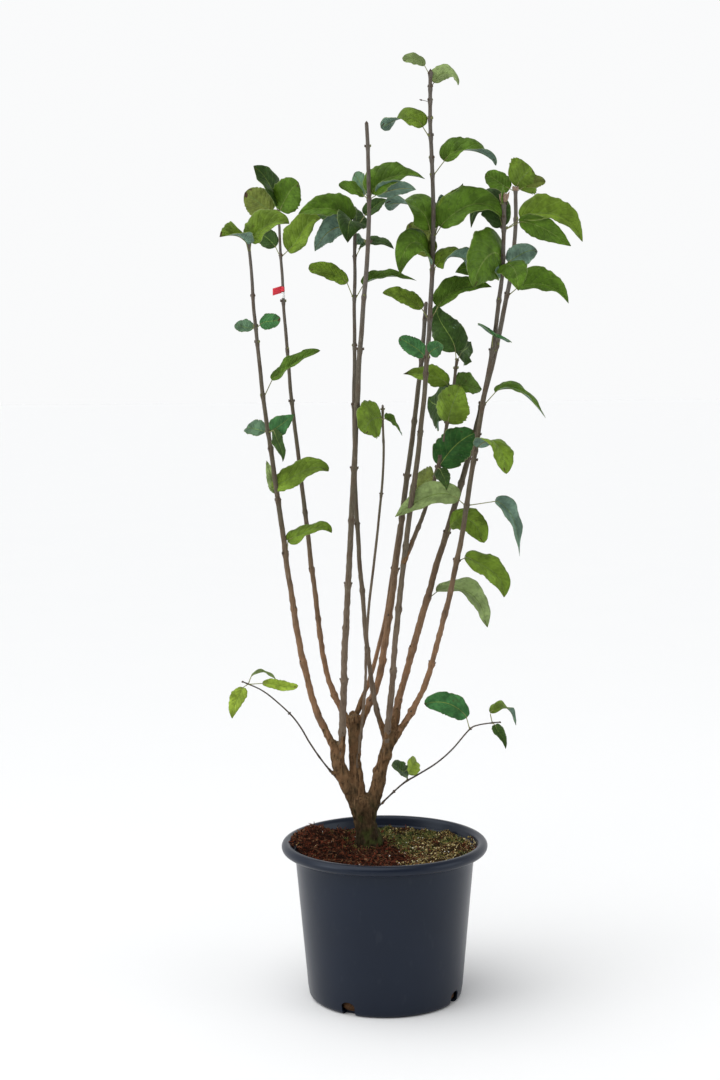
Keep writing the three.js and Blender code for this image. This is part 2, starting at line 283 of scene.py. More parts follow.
# Where a level plane cuts a solid: the middle and the girth of the ring of short edges.
def levelCut(points, triangles, height):
    ends = points[triangles]
    crossed = (ends[..., 2].max(axis=1) > height) & (ends[..., 2].min(axis=1) < height)
    ends = ends[crossed]
    nexts = np.roll(ends, -1, axis=1)
    rise = nexts[..., 2] - ends[..., 2]
    share = (height - ends[..., 2]) / np.where(rise == 0, 1, rise)
    hits = (ends[..., 2] > height) != (nexts[..., 2] > height)
    cuts = (ends + share[..., None] * (nexts - ends))[hits].reshape(-1, 2, 3)
    sizes = lengths(cuts[:, 0] - cuts[:, 1])
    middle = (cuts.mean(axis=1) * sizes[:, None]).sum(axis=0) / sizes.sum()
    return middle, sizes.sum()


# A limb's middle line with its radius as a fourth column, from level cuts through its solid. trim
# leaves out the foot, where neighbours cut the solid, and the line is carried back by sink instead.
# A round limb cut level at a lean has the girth π r (1 + 1 / lean), and a faceted one a little less.
def limbLine(node, trim, sink, spacing=0.03, faceted=1.04):
    points, triangles = nodeMesh(node)
    low, high = points[:, 2].min(), points[:, 2].max()
    heights = np.linspace(low + trim, high - 0.005, max(5, int((high - low) / spacing)))
    middles, girths = zip(*(levelCut(points, triangles, height) for height in heights))
    line = softened(np.array(middles), 2)
    tangent = unit(np.gradient(line, axis=0))
    radius = faceted * np.array(girths) / (np.pi * (1 + 1 / np.maximum(tangent[:, 2], 0.2)))
    foot = line[0] - tangent[0] * sink
    tip = line[-1] + tangent[-1] * (high - 0.001 - line[-1, 2]) / tangent[-1, 2]
    radius = np.concatenate([radius[:1], radius, radius[-1:]])
    return np.column_stack([np.vstack([foot, line, tip]), radius])


def atHeight(line, height):
    return sample(height, line[:, 2], line)


# The tips of a mass of leaves are its points that stand further from its limb than all round them.
# They come counter-clockwise as seen from above, from the back.
def leafTips(node, limb, onLimb=0.016, shortest=0.045, firstTurn=97):
    points, triangles = nodeMesh(node)
    gaps = lengths(points[:, None] - limb[None, :, :3]).min(axis=1)
    root = atHeight(limb, points[gaps < onLimb][:, 2].mean())
    reach = lengths(points - root[:3])
    edges = np.vstack([triangles[:, pair] for pair in ([0, 1], [1, 2], [2, 0])])
    edges = np.vstack([edges, edges[:, ::-1]])
    highest = np.zeros(len(points))
    np.maximum.at(highest, edges[:, 0], reach[edges[:, 1]])
    tips = points[(reach > highest) & (reach > shortest)]
    away = tips - root[:3]
    turn = np.degrees(np.arctan2(away[:, 1], away[:, 0]))
    return root, tips[np.argsort((turn - firstTurn) % 360)]


# Materials

def addNode(tree, kind, inputs=None, **settings):
    made = tree.nodes.new(kind)
    for setting, value in settings.items():
        setattr(made, setting, value)
    for socket, value in (inputs or {}).items():
        if isinstance(value, bpy.types.NodeSocket):
            tree.links.new(value, made.inputs[socket])
        else:
            made.inputs[socket].default_value = value
    return made


# A Principled shader whose colour and bump are built up from noise over the object's own space.
class Finish:
    def __init__(self, name, colour, roughness, **sockets):
        self.material = bpy.data.materials.new(name)
        self.material.use_nodes = True
        self.tree = self.material.node_tree
        self.shader = self.tree.nodes["Principled BSDF"]
        self.colour = self.material.diffuse_color = (*colour, 1)
        for socket, value in {"Base Color": self.colour, "Roughness": roughness, **sockets}.items():
            self.shader.inputs[socket.replace("_", " ")].default_value = value

    def node(self, kind, inputs=None, **settings):
        return addNode(self.tree, kind, inputs, **settings)

    def place(self, stretch=(1, 1, 1)):
        space = self.node("ShaderNodeTexCoord").outputs["Object"]
        return self.node("ShaderNodeMapping", {"Vector": space, "Scale": stretch}).outputs["Vector"]

    def height(self):
        return self.node("ShaderNodeSeparateXYZ", {0: self.place()}).outputs["Z"]

    def noise(self, scale, detail=4, stretch=(1, 1, 1)):
        inputs = {"Vector": self.place(stretch), "Scale": scale, "Detail": detail}
        return self.node("ShaderNodeTexNoise", inputs).outputs["Fac"]

    # Goes from start to end while the value goes from low to high.
    def between(self, value, low, high, start=0.0, end=1.0):
        inputs = {"Value": value, "From Min": low, "From Max": high, "To Min": start, "To Max": end}
        return self.node("ShaderNodeMapRange", inputs).outputs["Result"]

    def sum(self, operation, first, second=0.5):
        return self.node("ShaderNodeMath", {0: first, 1: second}, operation=operation).outputs[0]

    # Lays another colour over what is there, from none where the value is low to the share where it is high.
    def tint(self, value, low, high, share, colour):
        inputs = {0: self.between(value, low, high, 0, share), 6: self.colour, 7: (*colour, 1)}
        self.colour = self.node("ShaderNodeMix", inputs, data_type="RGBA").outputs[2]
        self.tree.links.new(self.colour, self.shader.inputs["Base Color"])

    def gloss(self, value, low, high, start, end):
        self.tree.links.new(self.between(value, low, high, start, end), self.shader.inputs["Roughness"])

    def bump(self, height, distance, strength=1.0):
        inputs = {"Height": height, "Distance": distance, "Strength": strength}
        bumped = self.node("ShaderNodeBump", inputs)
        self.tree.links.new(bumped.outputs["Normal"], self.shader.inputs["Normal"])
        return self.material


def potFinish():
    finish = Finish("potPlastic", (0.0024, 0.0048, 0.0138), 0.34, Specular_IOR_Level=0.34,
                    Specular_Tint=(0.78, 0.88, 1, 1))
    clouds = finish.noise(9, 3)
    finish.tint(clouds, 0.35, 0.75, 0.5, (0.005, 0.009, 0.022))
    finish.tint(finish.noise(70, 6, (1, 1, 0.35)), 0.6, 0.8, 0.2, (0.04, 0.045, 0.055))
    finish.gloss(clouds, 0.3, 0.7, 0.29, 0.38)
    return finish.bump(finish.noise(900, 2), 0.0002, 0.3)


def woodFinish():
    finish = Finish("barkTrunk", (0.175, 0.096, 0.046), 0.85, Specular_IOR_Level=0.12)
    fibres = finish.noise(520, 6, (1, 1, 0.16))
    flakes = finish.noise(190, 5, (1, 1, 0.45))
    cracks = finish.noise(330, 4, (1, 1, 0.1))
    patches = finish.noise(60, 4)
    height = finish.height()
    finish.tint(patches, 0.42, 0.62, 0.9, (0.11, 0.07, 0.034))
    finish.tint(height, 0.36, 0.27, 0.85, (0.04, 0.029, 0.012))
    finish.tint(flakes, 0.5, 0.66, 0.75, (0.2, 0.115, 0.055))
    finish.tint(flakes, 0.45, 0.34, 0.6, (0.026, 0.015, 0.007))
    finish.tint(cracks, 0.46, 0.34, 0.75, (0.018, 0.01, 0.005))
    finish.tint(fibres, 0.58, 0.75, 0.6, (0.27, 0.185, 0.1))
    finish.tint(height, 0.37, 0.26, 0.8, (0.018, 0.0135, 0.0065))
    moss = finish.sum("MULTIPLY", finish.between(height, 0.345, 0.255), finish.between(patches, 0.47, 0.62))
    finish.tint(moss, 0, 1, 0.7, (0.05, 0.068, 0.014))
    return finish.bump(finish.sum("ADD", fibres, flakes), 0.0014, 0.9)


def cutWoodFinish():
    finish = Finish("cutWood", (0.17, 0.115, 0.06), 0.85, Specular_IOR_Level=0.12)
    finish.tint(finish.noise(500, 5), 0.45, 0.65, 1, (0.06, 0.034, 0.018))
    return finish.bump(finish.noise(900, 4), 0.0006)


# Canes are redder or greyer below, as tone says, and turn grey brown further up.
caneTones = {"warm": (0.245, 0.135, 0.07), "grey": (0.155, 0.115, 0.08), "dark": (0.07, 0.06, 0.05)}


def caneFinish(tone):
    finish = Finish("caneBark" + tone.capitalize(), caneTones[tone], 0.62, Specular_IOR_Level=0.15)
    height = finish.height()
    fibres = finish.noise(600, 5, (1, 1, 0.08))
    specks = finish.noise(900, 2, (1, 1, 0.45))
    finish.tint(height, 0.58, 0.85, 1, (0.098, 0.083, 0.055))
    finish.tint(height, 1.02, 1.22, 0.9, (0.121, 0.107, 0.092))
    finish.tint(finish.noise(38, 3), 0.45, 0.68, 0.55, (0.09, 0.056, 0.036))
    finish.tint(fibres, 0.56, 0.78, 0.5, (0.27, 0.23, 0.18))
    finish.tint(fibres, 0.45, 0.28, 0.65, (0.035, 0.026, 0.02))
    finish.tint(specks, 0.68, 0.74, 0.6, (0.3, 0.24, 0.18))
    return finish.bump(finish.sum("ADD", fibres, specks), 0.0006, 0.8)


def scaled(colour, share):
    return tuple(channel * share for channel in colour)


# One colour with darker clouds, shade times as bright.
def plainFinish(name, colour, roughness, scale=300, depth=0.0003, shade=0.6, **sockets):
    finish = Finish(name, colour, roughness, **sockets)
    finish.tint(finish.noise(scale, 3), 0.35, 0.7, 1, scaled(colour, shade))
    return finish.bump(finish.noise(scale * 3, 3), depth, 0.6)


leafColours = {
    "lime": (0.27, 0.38, 0.04),
    # This and the next two are one green at three brightnesses, picked leaf by leaf: partly the leaves' own
    # range, partly painted light and painted shade for how brightly each leaf is lit.
    "bright": (0.145, 0.235, 0.02),
    "mid": (0.084, 0.168, 0.012),
    "dark": (0.034, 0.076, 0.012),
    # The two below are the bluish green of leaves deep inside the bush: painted shade.
    "deep": (0.024, 0.092, 0.016),
    "jade": (0.042, 0.15, 0.042),
    "olive": (0.15, 0.19, 0.03),
    "blue": (0.085, 0.17, 0.09),
    "pale": (0.25, 0.34, 0.12),
    "under": (0.145, 0.24, 0.175),
    "vein": (0.15, 0.225, 0.045),
    "brown": (0.06, 0.028, 0.012),
}


# The veins are paler than the blade and leave the midrib at a slant: a vein lies where the fraction of
# (u - slant × |v|) × count is near a half.
def leafFinish(tint, count, slant):
    colour = leafColours[tint]
    finish = Finish("leaf" + tint.capitalize(), colour, 0.48, Specular_IOR_Level=0.13)
    uv = finish.node("ShaderNodeTexCoord").outputs["UV"]
    parts = finish.node("ShaderNodeSeparateXYZ", {0: uv}).outputs
    aside = finish.sum("ABSOLUTE", parts["Y"])
    along = finish.sum("SUBTRACT", parts["X"], finish.sum("MULTIPLY", aside, slant))
    wave = finish.sum("FRACT", finish.sum("MULTIPLY", along, count))
    gap = finish.sum("ABSOLUTE", finish.sum("SUBTRACT", wave, 0.5))
    clouds, crinkles = finish.noise(45, 4), finish.noise(170, 5)
    paler = tuple(0.72 * channel + 0.28 * vein for channel, vein in zip(colour, leafColours["vein"]))
    lighterAndLit = tuple(min(1, channel * 1.5 + 0.004) for channel in colour)
    # Darker clouds and lighter patches at random: partly the leaf's own mottling, partly painted shade and
    # painted light standing for the relief of the blade.
    finish.tint(clouds, 0.4, 0.6, 0.8, scaled(colour, 0.5))
    finish.tint(finish.noise(30, 3), 0.5, 0.64, 0.65, lighterAndLit)
    # The crinkles are painted darker where their noise is low and paler where it is high: painted shade in the
    # blade's hollows and painted highlight on its rises.
    finish.tint(crinkles, 0.5, 0.38, 0.5, scaled(colour, 0.55))
    finish.tint(crinkles, 0.56, 0.7, 0.4, paler)
    finish.tint(gap, 0.07, 0.0, 0.5, paler)
    # A pale band along the margin: a painted highlight on the leaf's edge.
    finish.tint(aside, 0.95, 0.99, 0.7, (0.26, 0.31, 0.12))  # the pale edge
    finish.tint(finish.noise(95, 5), 0.67, 0.78, 0.55, leafColours["brown"])
    finish.gloss(clouds, 0.3, 0.7, 0.4, 0.56)
    relief = finish.sum("ADD", finish.between(gap, 0.0, 0.2), finish.sum("ADD", finish.noise(420, 3), crinkles))
    return finish.bump(relief, 0.0009, 0.7)


# Camera, floor and light

def placeCamera():
    view = {
        "place": (-0.09386, -3.07, 1.089),
        "down": 0.094,  # radians below level
        "right": 0.018,
        "roll": -0.008,
        "lens": 59.84,
    }
    camera = placed("camera", bpy.data.cameras.new("camera"))
    camera.data.lens = view["lens"]
    camera.matrix_world = (
        Matrix.Translation(view["place"])
        @ Matrix.Rotation(-view["right"], 4, "Z")
        @ Matrix.Rotation(math.pi / 2 - view["down"], 4, "X")
        @ Matrix.Rotation(view["roll"], 4, "Z")
    )
    bpy.context.scene.camera = camera


studio = {
    "walls": (0.955, 0.96, 0.965),
    "fades": [  # axis, where the fade begins and ends, and the brightness there as a share of the walls'
        ("Z", 0.3, 0.75, 0.5),
        ("Y", -0.45, -0.95, 0.4),
    ],
    "floor": (0.875, 0.879, 0.883),
    "floorHalf": 60.0,
    "sun": {"from": (-0.58, -0.32, 1.35), "strength": 1.85, "angle": 75},
    "aim": (0, 0, 0.8),
    "panels": [((-2.6, -1.2, 1.2), 17), ((2.6, -0.9, 1.2), 10)],  # place and watts of the soft lamps
    "panelSize": 1.6,
}


def addLamp(name, kind, place, aim, energy, **settings):
    lamp = bpy.data.lights.new(name, kind)
    lamp.energy = energy
    for setting, value in settings.items():
        setattr(lamp, setting, value)
    holder = placed(name, lamp)
    holder.location = place
    holder.rotation_euler = (Vector(place) - Vector(aim)).to_track_quat("Z", "Y").to_euler()


# The surroundings are white at the sides and greyer overhead and in front. One broad soft light comes from
# the upper left, and a soft lamp stands at either side.
def lightStudio():
    scene = bpy.context.scene
    scene.view_settings.view_transform = "Standard"
    scene.world = bpy.data.worlds.new("studio")
    scene.world.use_nodes = True
    tree = scene.world.node_tree
    background = tree.nodes["Background"]
    background.inputs["Color"].default_value = (*studio["walls"], 1)
    around = addNode(tree, "ShaderNodeTexCoord").outputs["Generated"]
    direction = addNode(tree, "ShaderNodeSeparateXYZ", {0: around}).outputs
    fades = {}
    for rank, (axis, low, high, end) in enumerate(studio["fades"]):
        inputs = {"Value": direction[axis], "From Min": low, "From Max": high, "To Min": 1.0, "To Max": end}
        fade = addNode(tree, "ShaderNodeMapRange", inputs, interpolation_type="SMOOTHSTEP")
        fades[rank] = fade.outputs["Result"]
    strength = addNode(tree, "ShaderNodeMath", fades, operation="MULTIPLY").outputs[0]
    tree.links.new(strength, background.inputs["Strength"])
    sun = studio["sun"]
    addLamp("softSun", "SUN", sun["from"], (0, 0, 0), sun["strength"], angle=math.radians(sun["angle"]))
    for rank, (place, watts) in enumerate(studio["panels"]):
        addLamp(f"panel{rank}", "AREA", place, studio["aim"], watts, size=studio["panelSize"])


def layFloor():
    half = studio["floorHalf"]
    corners = np.array([[-1, -1, 0], [1, -1, 0], [1, 1, 0], [-1, 1, 0]]) * half
    finish = Finish("floorPaper", studio["floor"], 0.8, Specular_IOR_Level=0.2)
    finish.tint(finish.noise(2, 2), 0.3, 0.8, 0.3, (0.856, 0.865, 0.873))
    mesh = makeMesh("floor", patch(corners, np.array([[0, 1, 2, 3]])), smooth=False)
    mesh.materials.append(finish.material)
    floor = placed("floor", mesh)


# Pot

pot = {
    "baseRadius": 0.134,
    "cornerRadius": 0.009,
    "footLift": 0.003,  # how far the middle of the underside is held off the ground
    "insideFloor": 0.0045,
    "shoulderRadius": 0.156,
    "shoulderHeight": 0.25,
    "shoulderRoll": 0.0045,
    "wall": 0.003,
    "rimRadius": 0.1705,
    "rimRoll": 0.009,
    "columns": 192,
    "notch": {"width": 0.025, "height": 0.024, "depth": 0.03, "turns": (-120, -30, 60, 150)},
}


def wallRadius(height):
    return pot["baseRadius"] + (pot["shoulderRadius"] - pot["baseRadius"]) * height / pot["shoulderHeight"]


def arc(middle, radius, start, end, steps):
    turn = np.radians(np.linspace(start, end, steps))
    return np.column_stack([middle[0] + radius * np.cos(turn), middle[1] + radius * np.sin(turn)])


# The pot's section turned round +Z: underside, rounded foot, sloping wall, rolled rim, inside wall.
def potSurface():
    corner, wall, lift, roll = pot["cornerRadius"], pot["wall"], pot["footLift"], pot["rimRoll"]
    base, top, bottom = pot["baseRadius"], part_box("pot")[1].z, pot["insideFloor"]
    shoulder, shoulderHeight, bend = pot["shoulderRadius"], pot["shoulderHeight"], pot["shoulderRoll"]
    wallHeights = np.linspace(corner, shoulderHeight - 0.004, 24)[1:]
    insideHeights = np.linspace(shoulderHeight - 0.002, 0.008, 16)
    section = np.vstack([
        [[0.06, lift], [base - 0.024, lift], [base - 0.021, 0.0005], [base - 0.019, 0]],
        arc((base - corner, corner), corner, -90, -8, 9),
        np.column_stack([wallRadius(wallHeights), wallHeights]),
        arc((shoulder + bend, shoulderHeight + 0.0005), bend, 200, 100, 6),
        arc((pot["rimRadius"], top - roll), roll, -125, 168, 34),
        arc((shoulder + 0.0015, top - 0.0195), bend, 75, 175, 7),
        np.column_stack([wallRadius(insideHeights) - wall, insideHeights]),
        [[base - wall - 0.006, bottom], [0.05, bottom]],
    ])
    rings = spun(section[:, 0], pot["columns"])
    heights = np.broadcast_to(section[:, None, 1:], (*rings.shape[:2], 1))
    walls = np.concatenate([rings, heights], axis=2).reshape(-1, 3)
    faces = closedFaces(len(section), pot["columns"])
    return patch(np.vstack([walls, [0, 0, lift], [0, 0, bottom]]), faces)


# An arched block through the foot of the wall, its outline carried square through the wall.
def notchBlock(turn):
    notch = pot["notch"]
    half, height, depth = notch["width"] / 2, notch["height"], notch["depth"]
    bend = arc((0, height - half * 0.6), half, 0, 180, 11) * [1, 0.6] + [0, 0.4 * (height - half * 0.6)]
    outline = np.vstack([[[-half, -0.01], [half, -0.01]], bend])
    count = len(outline)
    near, far = pot["baseRadius"] - depth / 2, pot["baseRadius"] + depth / 2
    points = np.vstack([np.column_stack([np.full(count, y), outline]) for y in (near, far)])
    sides = [[i, (i + 1) % count, (i + 1) % count + count, i + count] for i in range(count)]
    block = bpy.data.meshes.new("notchBlock")
    ends = [list(range(count))[::-1], list(range(count, 2 * count))]
    angle = np.radians(turn)
    spin = np.array([[np.cos(angle), -np.sin(angle), 0], [np.sin(angle), np.cos(angle), 0], [0, 0, 1]])
    block.from_pydata((points @ spin.T).tolist(), [], sides + ends)
    return block


def buildPot():
    body = placed("potBody", makeMesh("potBody", potSurface()))
    blocks = [placed("notch", notchBlock(turn)) for turn in pot["notch"]["turns"]]
    for block in blocks:
        cut = body.modifiers.new("notch", "BOOLEAN")
        cut.operation, cut.solver, cut.object = "DIFFERENCE", "EXACT", block
    mesh = finalMesh(body, "pot")
    for leftover in [body, *blocks]:
        bpy.data.objects.remove(leftover)
    mesh.polygons.foreach_set("material_index", np.zeros(len(mesh.polygons), np.int32))
    mesh.set_sharp_from_angle(angle=math.radians(40))
    addObject("potShell", mesh, [potFinish()], ["pot"])
    print("pot built")


# The mesh that an object's modifiers leave.
def finalMesh(piece, name):
    bpy.context.view_layer.update()
    evaluated = piece.evaluated_get(bpy.context.evaluated_depsgraph_get())
    mesh = bpy.data.meshes.new_from_object(evaluated)
    mesh.name = name
    mesh.materials.clear()
    return mesh


# Soil

soil = {
    "level": 0.249,
    "bottom": 0.228,
    "edgeRise": 0.0055,
    "clods": 0.0042,
    "crumble": 0.0011,
    "rings": 96,
    "columns": 300,
    "heapReach": 0.135,
    "heapShift": 0.42,  # radians towards the left, from the middle of its solid
    "heapSpread": (0.088, 0.055),  # along the wall and towards the middle
    "heapFall": 1.3,  # how fast it falls off
    "heapRise": 0.036,
    "backRise": 0.006,
    "highest": 0.2772,  # at the wall, and wallSlope higher for each metre inwards
    "wallSlope": 0.5,
    "ledgeSlope": 1.25,  # of loose pieces past the wall
    "spill": 1.045,  # how far loose pieces lie out over the wall's inside ledge
    "spillFront": 0.05,  # they lie on that ledge only where y is less
    "moundEdge": 0.45,  # the share of the mound from which they lie out over the rim too
    "trunkGap": 0.026,
    "blades": 9,  # in a tuft of moss
    "tuftSpread": 0.0022,
    "plug": {"reach": 0.1195, "height": 0.0155, "length": 0.018, "radius": 0.0105, "dents": 0.09},
}
heapLow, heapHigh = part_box("mulch_heap")
heapTurn = math.atan2(heapLow.y + heapHigh.y, heapLow.x + heapHigh.x) + soil["heapShift"]
heapMiddle = soil["heapReach"] * np.array([math.cos(heapTurn), math.sin(heapTurn)])
trunkLow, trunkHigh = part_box("trunk")
trunkFoot = np.array([(trunkLow.x + trunkHigh.x) / 2 + 0.006, (trunkLow.y + trunkHigh.y) / 2])
soilRadius = wallRadius(soil["level"]) - pot["wall"] - 0.0004

# What lies on the soil: shape, count, the ground it belongs to and its least share elsewhere, how far out it
# reaches, how level it lies, how far it is lifted, how dented it is, its least and greatest size, how much
# each side of it varies, and the shares of its finishes.
litter = {
    "chips": ("box", 1100, "mulch", 0.12, 1.085, 0.72, 0.0022, 0.12,
              [0.003, 0.0015, 0.0007], [0.009, 0.0036, 0.0018], None, [0.32, 0.28, 0.26, 0.14]),
    "fibres": ("box", 900, "mulch", 0.1, 1.0, 0.6, 0.0035, 0.12,
               [0.006, 0.0006, 0.0005], [0.016, 0.0012, 0.0009], None, [0.45, 0.3, 0.1, 0.15]),
    "crumbs": ("grain", 5200, "mulch", 0.15, 1.085, 0.0, 0.001, 0.2, 0.0012, 0.0038, (0.6, 1.2), None),
    "grit": ("grain", 4200, "grit", 0.03, 1.045, 0.0, 0.0012, 0.18, 0.0012, 0.004, (0.6, 1.1),
             [0.3, 0.27, 0.25, 0.18]),
    "perlite": ("grain", 60, "grit", 0.25, 1.0, 0.0, 0.0018, 0.12, 0.0016, 0.0036, (0.8, 1.1), None),
    "moss": ("tuft", 620, "moss", 0.0, 0.99, 0.75, 0.0, 0.1,
             [0.0006, 0.0006, 0.0018], [0.0012, 0.0012, 0.0058], None, None),
}
# Roughness, clouds' scale, depth of the bumps and specular level, then each name's colour and clouds' shade.
soilFinishes = {
    "top": ((0.95, 400, 0.0015, 0.05), {
        "peat": ((0.036, 0.012, 0.007), 0.35),
        "loam": ((0.04, 0.026, 0.011), 0.4),
    }),
    "root": ((0.9, 500, 0.0015, 0.05), {"rootBall": ((0.1, 0.052, 0.026), 0.3)}),
    "bark": ((0.9, 300, 0.0004, 0.1), {
        "barkChipRed": ((0.145, 0.037, 0.017), 0.5),
        "barkChipBrown": ((0.062, 0.024, 0.012), 0.5),
        "barkChipDark": ((0.022, 0.01, 0.006), 0.5),
        "barkChipTan": ((0.2, 0.1, 0.05), 0.5),
    }),
    "grit": ((0.85, 300, 0.0003, 0.15), {
        "gritTan": ((0.33, 0.22, 0.085), 0.6),
        "gritOchre": ((0.33, 0.25, 0.075), 0.6),
        "gritBrown": ((0.075, 0.045, 0.02), 0.6),
        "gritPale": ((0.72, 0.62, 0.33), 0.75),
    }),
    "perlite": ((0.8, 300, 0.0003, 0.5), {"perlite": ((0.86, 0.85, 0.8), 0.85)}),
    "moss": ((0.9, 300, 0.0003, 0.5), {
        "mossGreen": ((0.11, 0.16, 0.025), 0.6),
        "mossYellow": ((0.25, 0.25, 0.06), 0.6),
        "mossDark": ((0.035, 0.06, 0.014), 0.6),
    }),
}


# How much a place belongs to the mound: it falls off as a bell curve along the wall and inwards.
def moundShare(spots):
    outward = heapMiddle / soil["heapReach"]
    away = (spots - heapMiddle) @ np.column_stack([[-outward[1], outward[0]], outward])
    return np.exp(-((away / np.array(soil["heapSpread"])) ** 2).sum(axis=1) * soil["heapFall"])


def onGround(spots):
    return np.column_stack([spots, np.zeros(len(spots))])


# Height of the soil: level, up a little at the wall, with a mound against the back left and clods.
def soilHeight(spots):
    share, flat = lengths(spots) / soilRadius, onGround(spots)
    backRight = smoothStep(0.05, 0.14, spots[:, 0]) * smoothStep(-0.1, 0.08, spots[:, 1])
    lumps = roughNoise(flat, 0.016, 3, 11) * soil["clods"] + noise(flat, 0.0035, 5) * soil["crumble"]
    rise = soil["ledgeSlope"] * soilRadius * np.maximum(share - 1, 0)
    rise = rise + soil["edgeRise"] * np.minimum(share, 1) ** 6
    rise += soil["heapRise"] * moundShare(spots) + soil["backRise"] * backRight * share ** 2
    highest = soil["highest"] + soil["wallSlope"] * soilRadius * (1 - share)
    return np.minimum(soil["level"] + rise + lumps, highest)


# How much a place belongs to the red mulch (left and front) and not to the pale grit (right).
def mulchShare(spots):
    slope = (0.015 - spots[:, 0] - 0.35 * spots[:, 1]) / 0.05
    return smoothStep(-0.6, 0.6, slope + roughNoise(onGround(spots), 0.035, 2, 3))


def gritShare(spots):
    return 1 - mulchShare(spots)


def mossShare(spots):
    backRight = smoothStep(-0.01, 0.09, spots[:, 0] * 0.55 + spots[:, 1])
    nearTrunk = 1 - smoothStep(0.02, 0.055, lengths(spots - trunkFoot))
    patchy = smoothStep(-0.15, 0.35, roughNoise(onGround(spots), 0.028, 2, 8) + 0.1)
    return (0.9 * backRight + 0.4 * nearTrunk) * patchy


grounds = {"mulch": mulchShare, "grit": gritShare, "moss": mossShare}


# Random places on the soil, each kept with the chance that its ground gives it.
def scatter(generator, count, ground, least, reach):
    spots = []
    while len(spots) < count:
        radius = soilRadius * reach * np.sqrt(generator.random(count))
        turn = generator.random(count) * 2 * np.pi
        found = np.column_stack([radius * np.cos(turn), radius * np.sin(turn)])
        wide = lengths(found) / soilRadius
        clear = (wide < 1) | ((wide < soil["spill"]) & (found[:, 1] < soil["spillFront"]))
        clear |= moundShare(found) > soil["moundEdge"]
        clear &= lengths(found - trunkFoot) > soil["trunkGap"]
        chance = least + (1 - least) * grounds[ground](found)
        spots.extend(found[clear & (generator.random(count) < chance)])
    return np.array(spots[:count])


# Random turns: unit quaternions from four normal numbers, each made a 3 × 3 matrix.
def randomTurns(generator, count, level=0.0):
    w, x, y, z = unit(generator.normal(size=(count, 4)) * [1, 1 - level, 1 - level, 1]).T
    rows = [
        [1 - 2 * (y * y + z * z), 2 * (x * y - z * w), 2 * (x * z + y * w)],
        [2 * (x * y + z * w), 1 - 2 * (x * x + z * z), 2 * (y * z - x * w)],
        [2 * (x * z - y * w), 2 * (y * z + x * w), 1 - 2 * (x * x + y * y)],
    ]
    return np.moveaxis(np.array(rows), 2, 0)


litterShapes = {  # points and faces of a block, of a grain with eight sides, and of a blade of moss
    "box": ([[x / 2, y / 2, z / 2] for z in (-1, 1) for x, y in ((-1, -1), (1, -1), (1, 1), (-1, 1))],
            [[0, 3, 2, 1], [4, 5, 6, 7], [0, 1, 5, 4], [1, 2, 6, 5], [2, 3, 7, 6], [3, 0, 4, 7]]),
    "grain": ([[0.5, 0, 0], [0, 0.5, 0], [-0.5, 0, 0], [0, -0.5, 0], [0, 0, 0.5], [0, 0, -0.5]],
              [[0, 1, 4, 4], [1, 2, 4, 4], [2, 3, 4, 4], [3, 0, 4, 4],
               [1, 0, 5, 5], [2, 1, 5, 5], [3, 2, 5, 5], [0, 3, 5, 5]]),
    "tuft": ([[0.5, 0, 0], [0, 0.5, 0], [-0.5, 0, 0], [0, -0.5, 0], [0.2, 0.1, 1]],
             [[0, 1, 4, 4], [1, 2, 4, 4], [2, 3, 4, 4], [3, 0, 4, 4], [0, 3, 2, 1]]),
}


# Many small copies of one shape, each with its own place, size, turn, dents and finish.
def strew(generator, name, finishes):
    shape, count, ground, least, reach, level, lift, dents, low, high, spread, shares = litter[name]
    spots = scatter(generator, count, ground, least, reach)
    blades = soil["blades"] if shape == "tuft" else 1
    total = count * blades
    if blades > 1:
        spots = np.repeat(spots, blades, axis=0) + generator.normal(size=(total, 2)) * soil["tuftSpread"]
        spots *= np.minimum(1, reach * soilRadius / lengths(spots))[:, None]
    sizes = generator.uniform(low, high, (total, 1 if spread else 3))
    if spread:
        sizes = sizes * generator.uniform(*spread, (total, 3))
    places = np.column_stack([spots, soilHeight(spots) + lift * generator.random(total)])
    turns = randomTurns(generator, total, level)
    slots = np.repeat(generator.choice(len(finishes), count, p=shares), blades)
    corners, faces = (np.array(part) for part in litterShapes[shape])
    points = corners[None] * (1 + dents * generator.normal(size=(total, len(corners), 1)))
    points = np.einsum("nij,nkj->nki", turns, points * sizes[:, None]) + places[:, None]
    every = (faces[None] + (np.arange(total) * len(corners))[:, None, None]).reshape(-1, 4)
    return patch(points.reshape(-1, 3), every, np.repeat(slots, len(faces)))


# The soil's surface as rings from its wall to its middle, with a skirt below and closed underneath.
def soilSurface():
    rings, columns = soil["rings"], soil["columns"]
    spots = spun(soilRadius * np.linspace(1, 0.004, rings), columns).reshape(-1, 2)
    top = np.column_stack([spots, soilHeight(spots)])
    skirt = top[:columns] * [1, 1, 0] + [0, 0, soil["bottom"]]
    poles = [[0, 0, soil["bottom"]], [0, 0, top[-columns:, 2].mean()]]
    points, faces = np.vstack([skirt, top, poles]), closedFaces(rings + 1, columns)
    share = mulchShare(points[faces[:, 0], :2])
    slots = np.where(share + 0.35 * noise(points[faces[:, 0]], 0.004, 9) > 0.5, 0, 1)
    return patch(points, faces, slots)


# The root ball where it shows in the pot's drain openings.
def notchPlug(turn):
    way, across, size = (math.cos(turn), math.sin(turn)), (-math.sin(turn), math.cos(turn), 0), soil["plug"]
    place = (size["reach"] * way[0], size["reach"] * way[1], size["height"])
    plug = lump(place, across, size["length"], size["radius"], 28)
    middle = plug["points"].mean(axis=0)
    dents = 1 + size["dents"] * roughNoise(plug["points"], 0.006, 3, 17)[:, None]
    return patch(middle + (plug["points"] - middle) * np.minimum(dents, 1.08), plug["faces"])


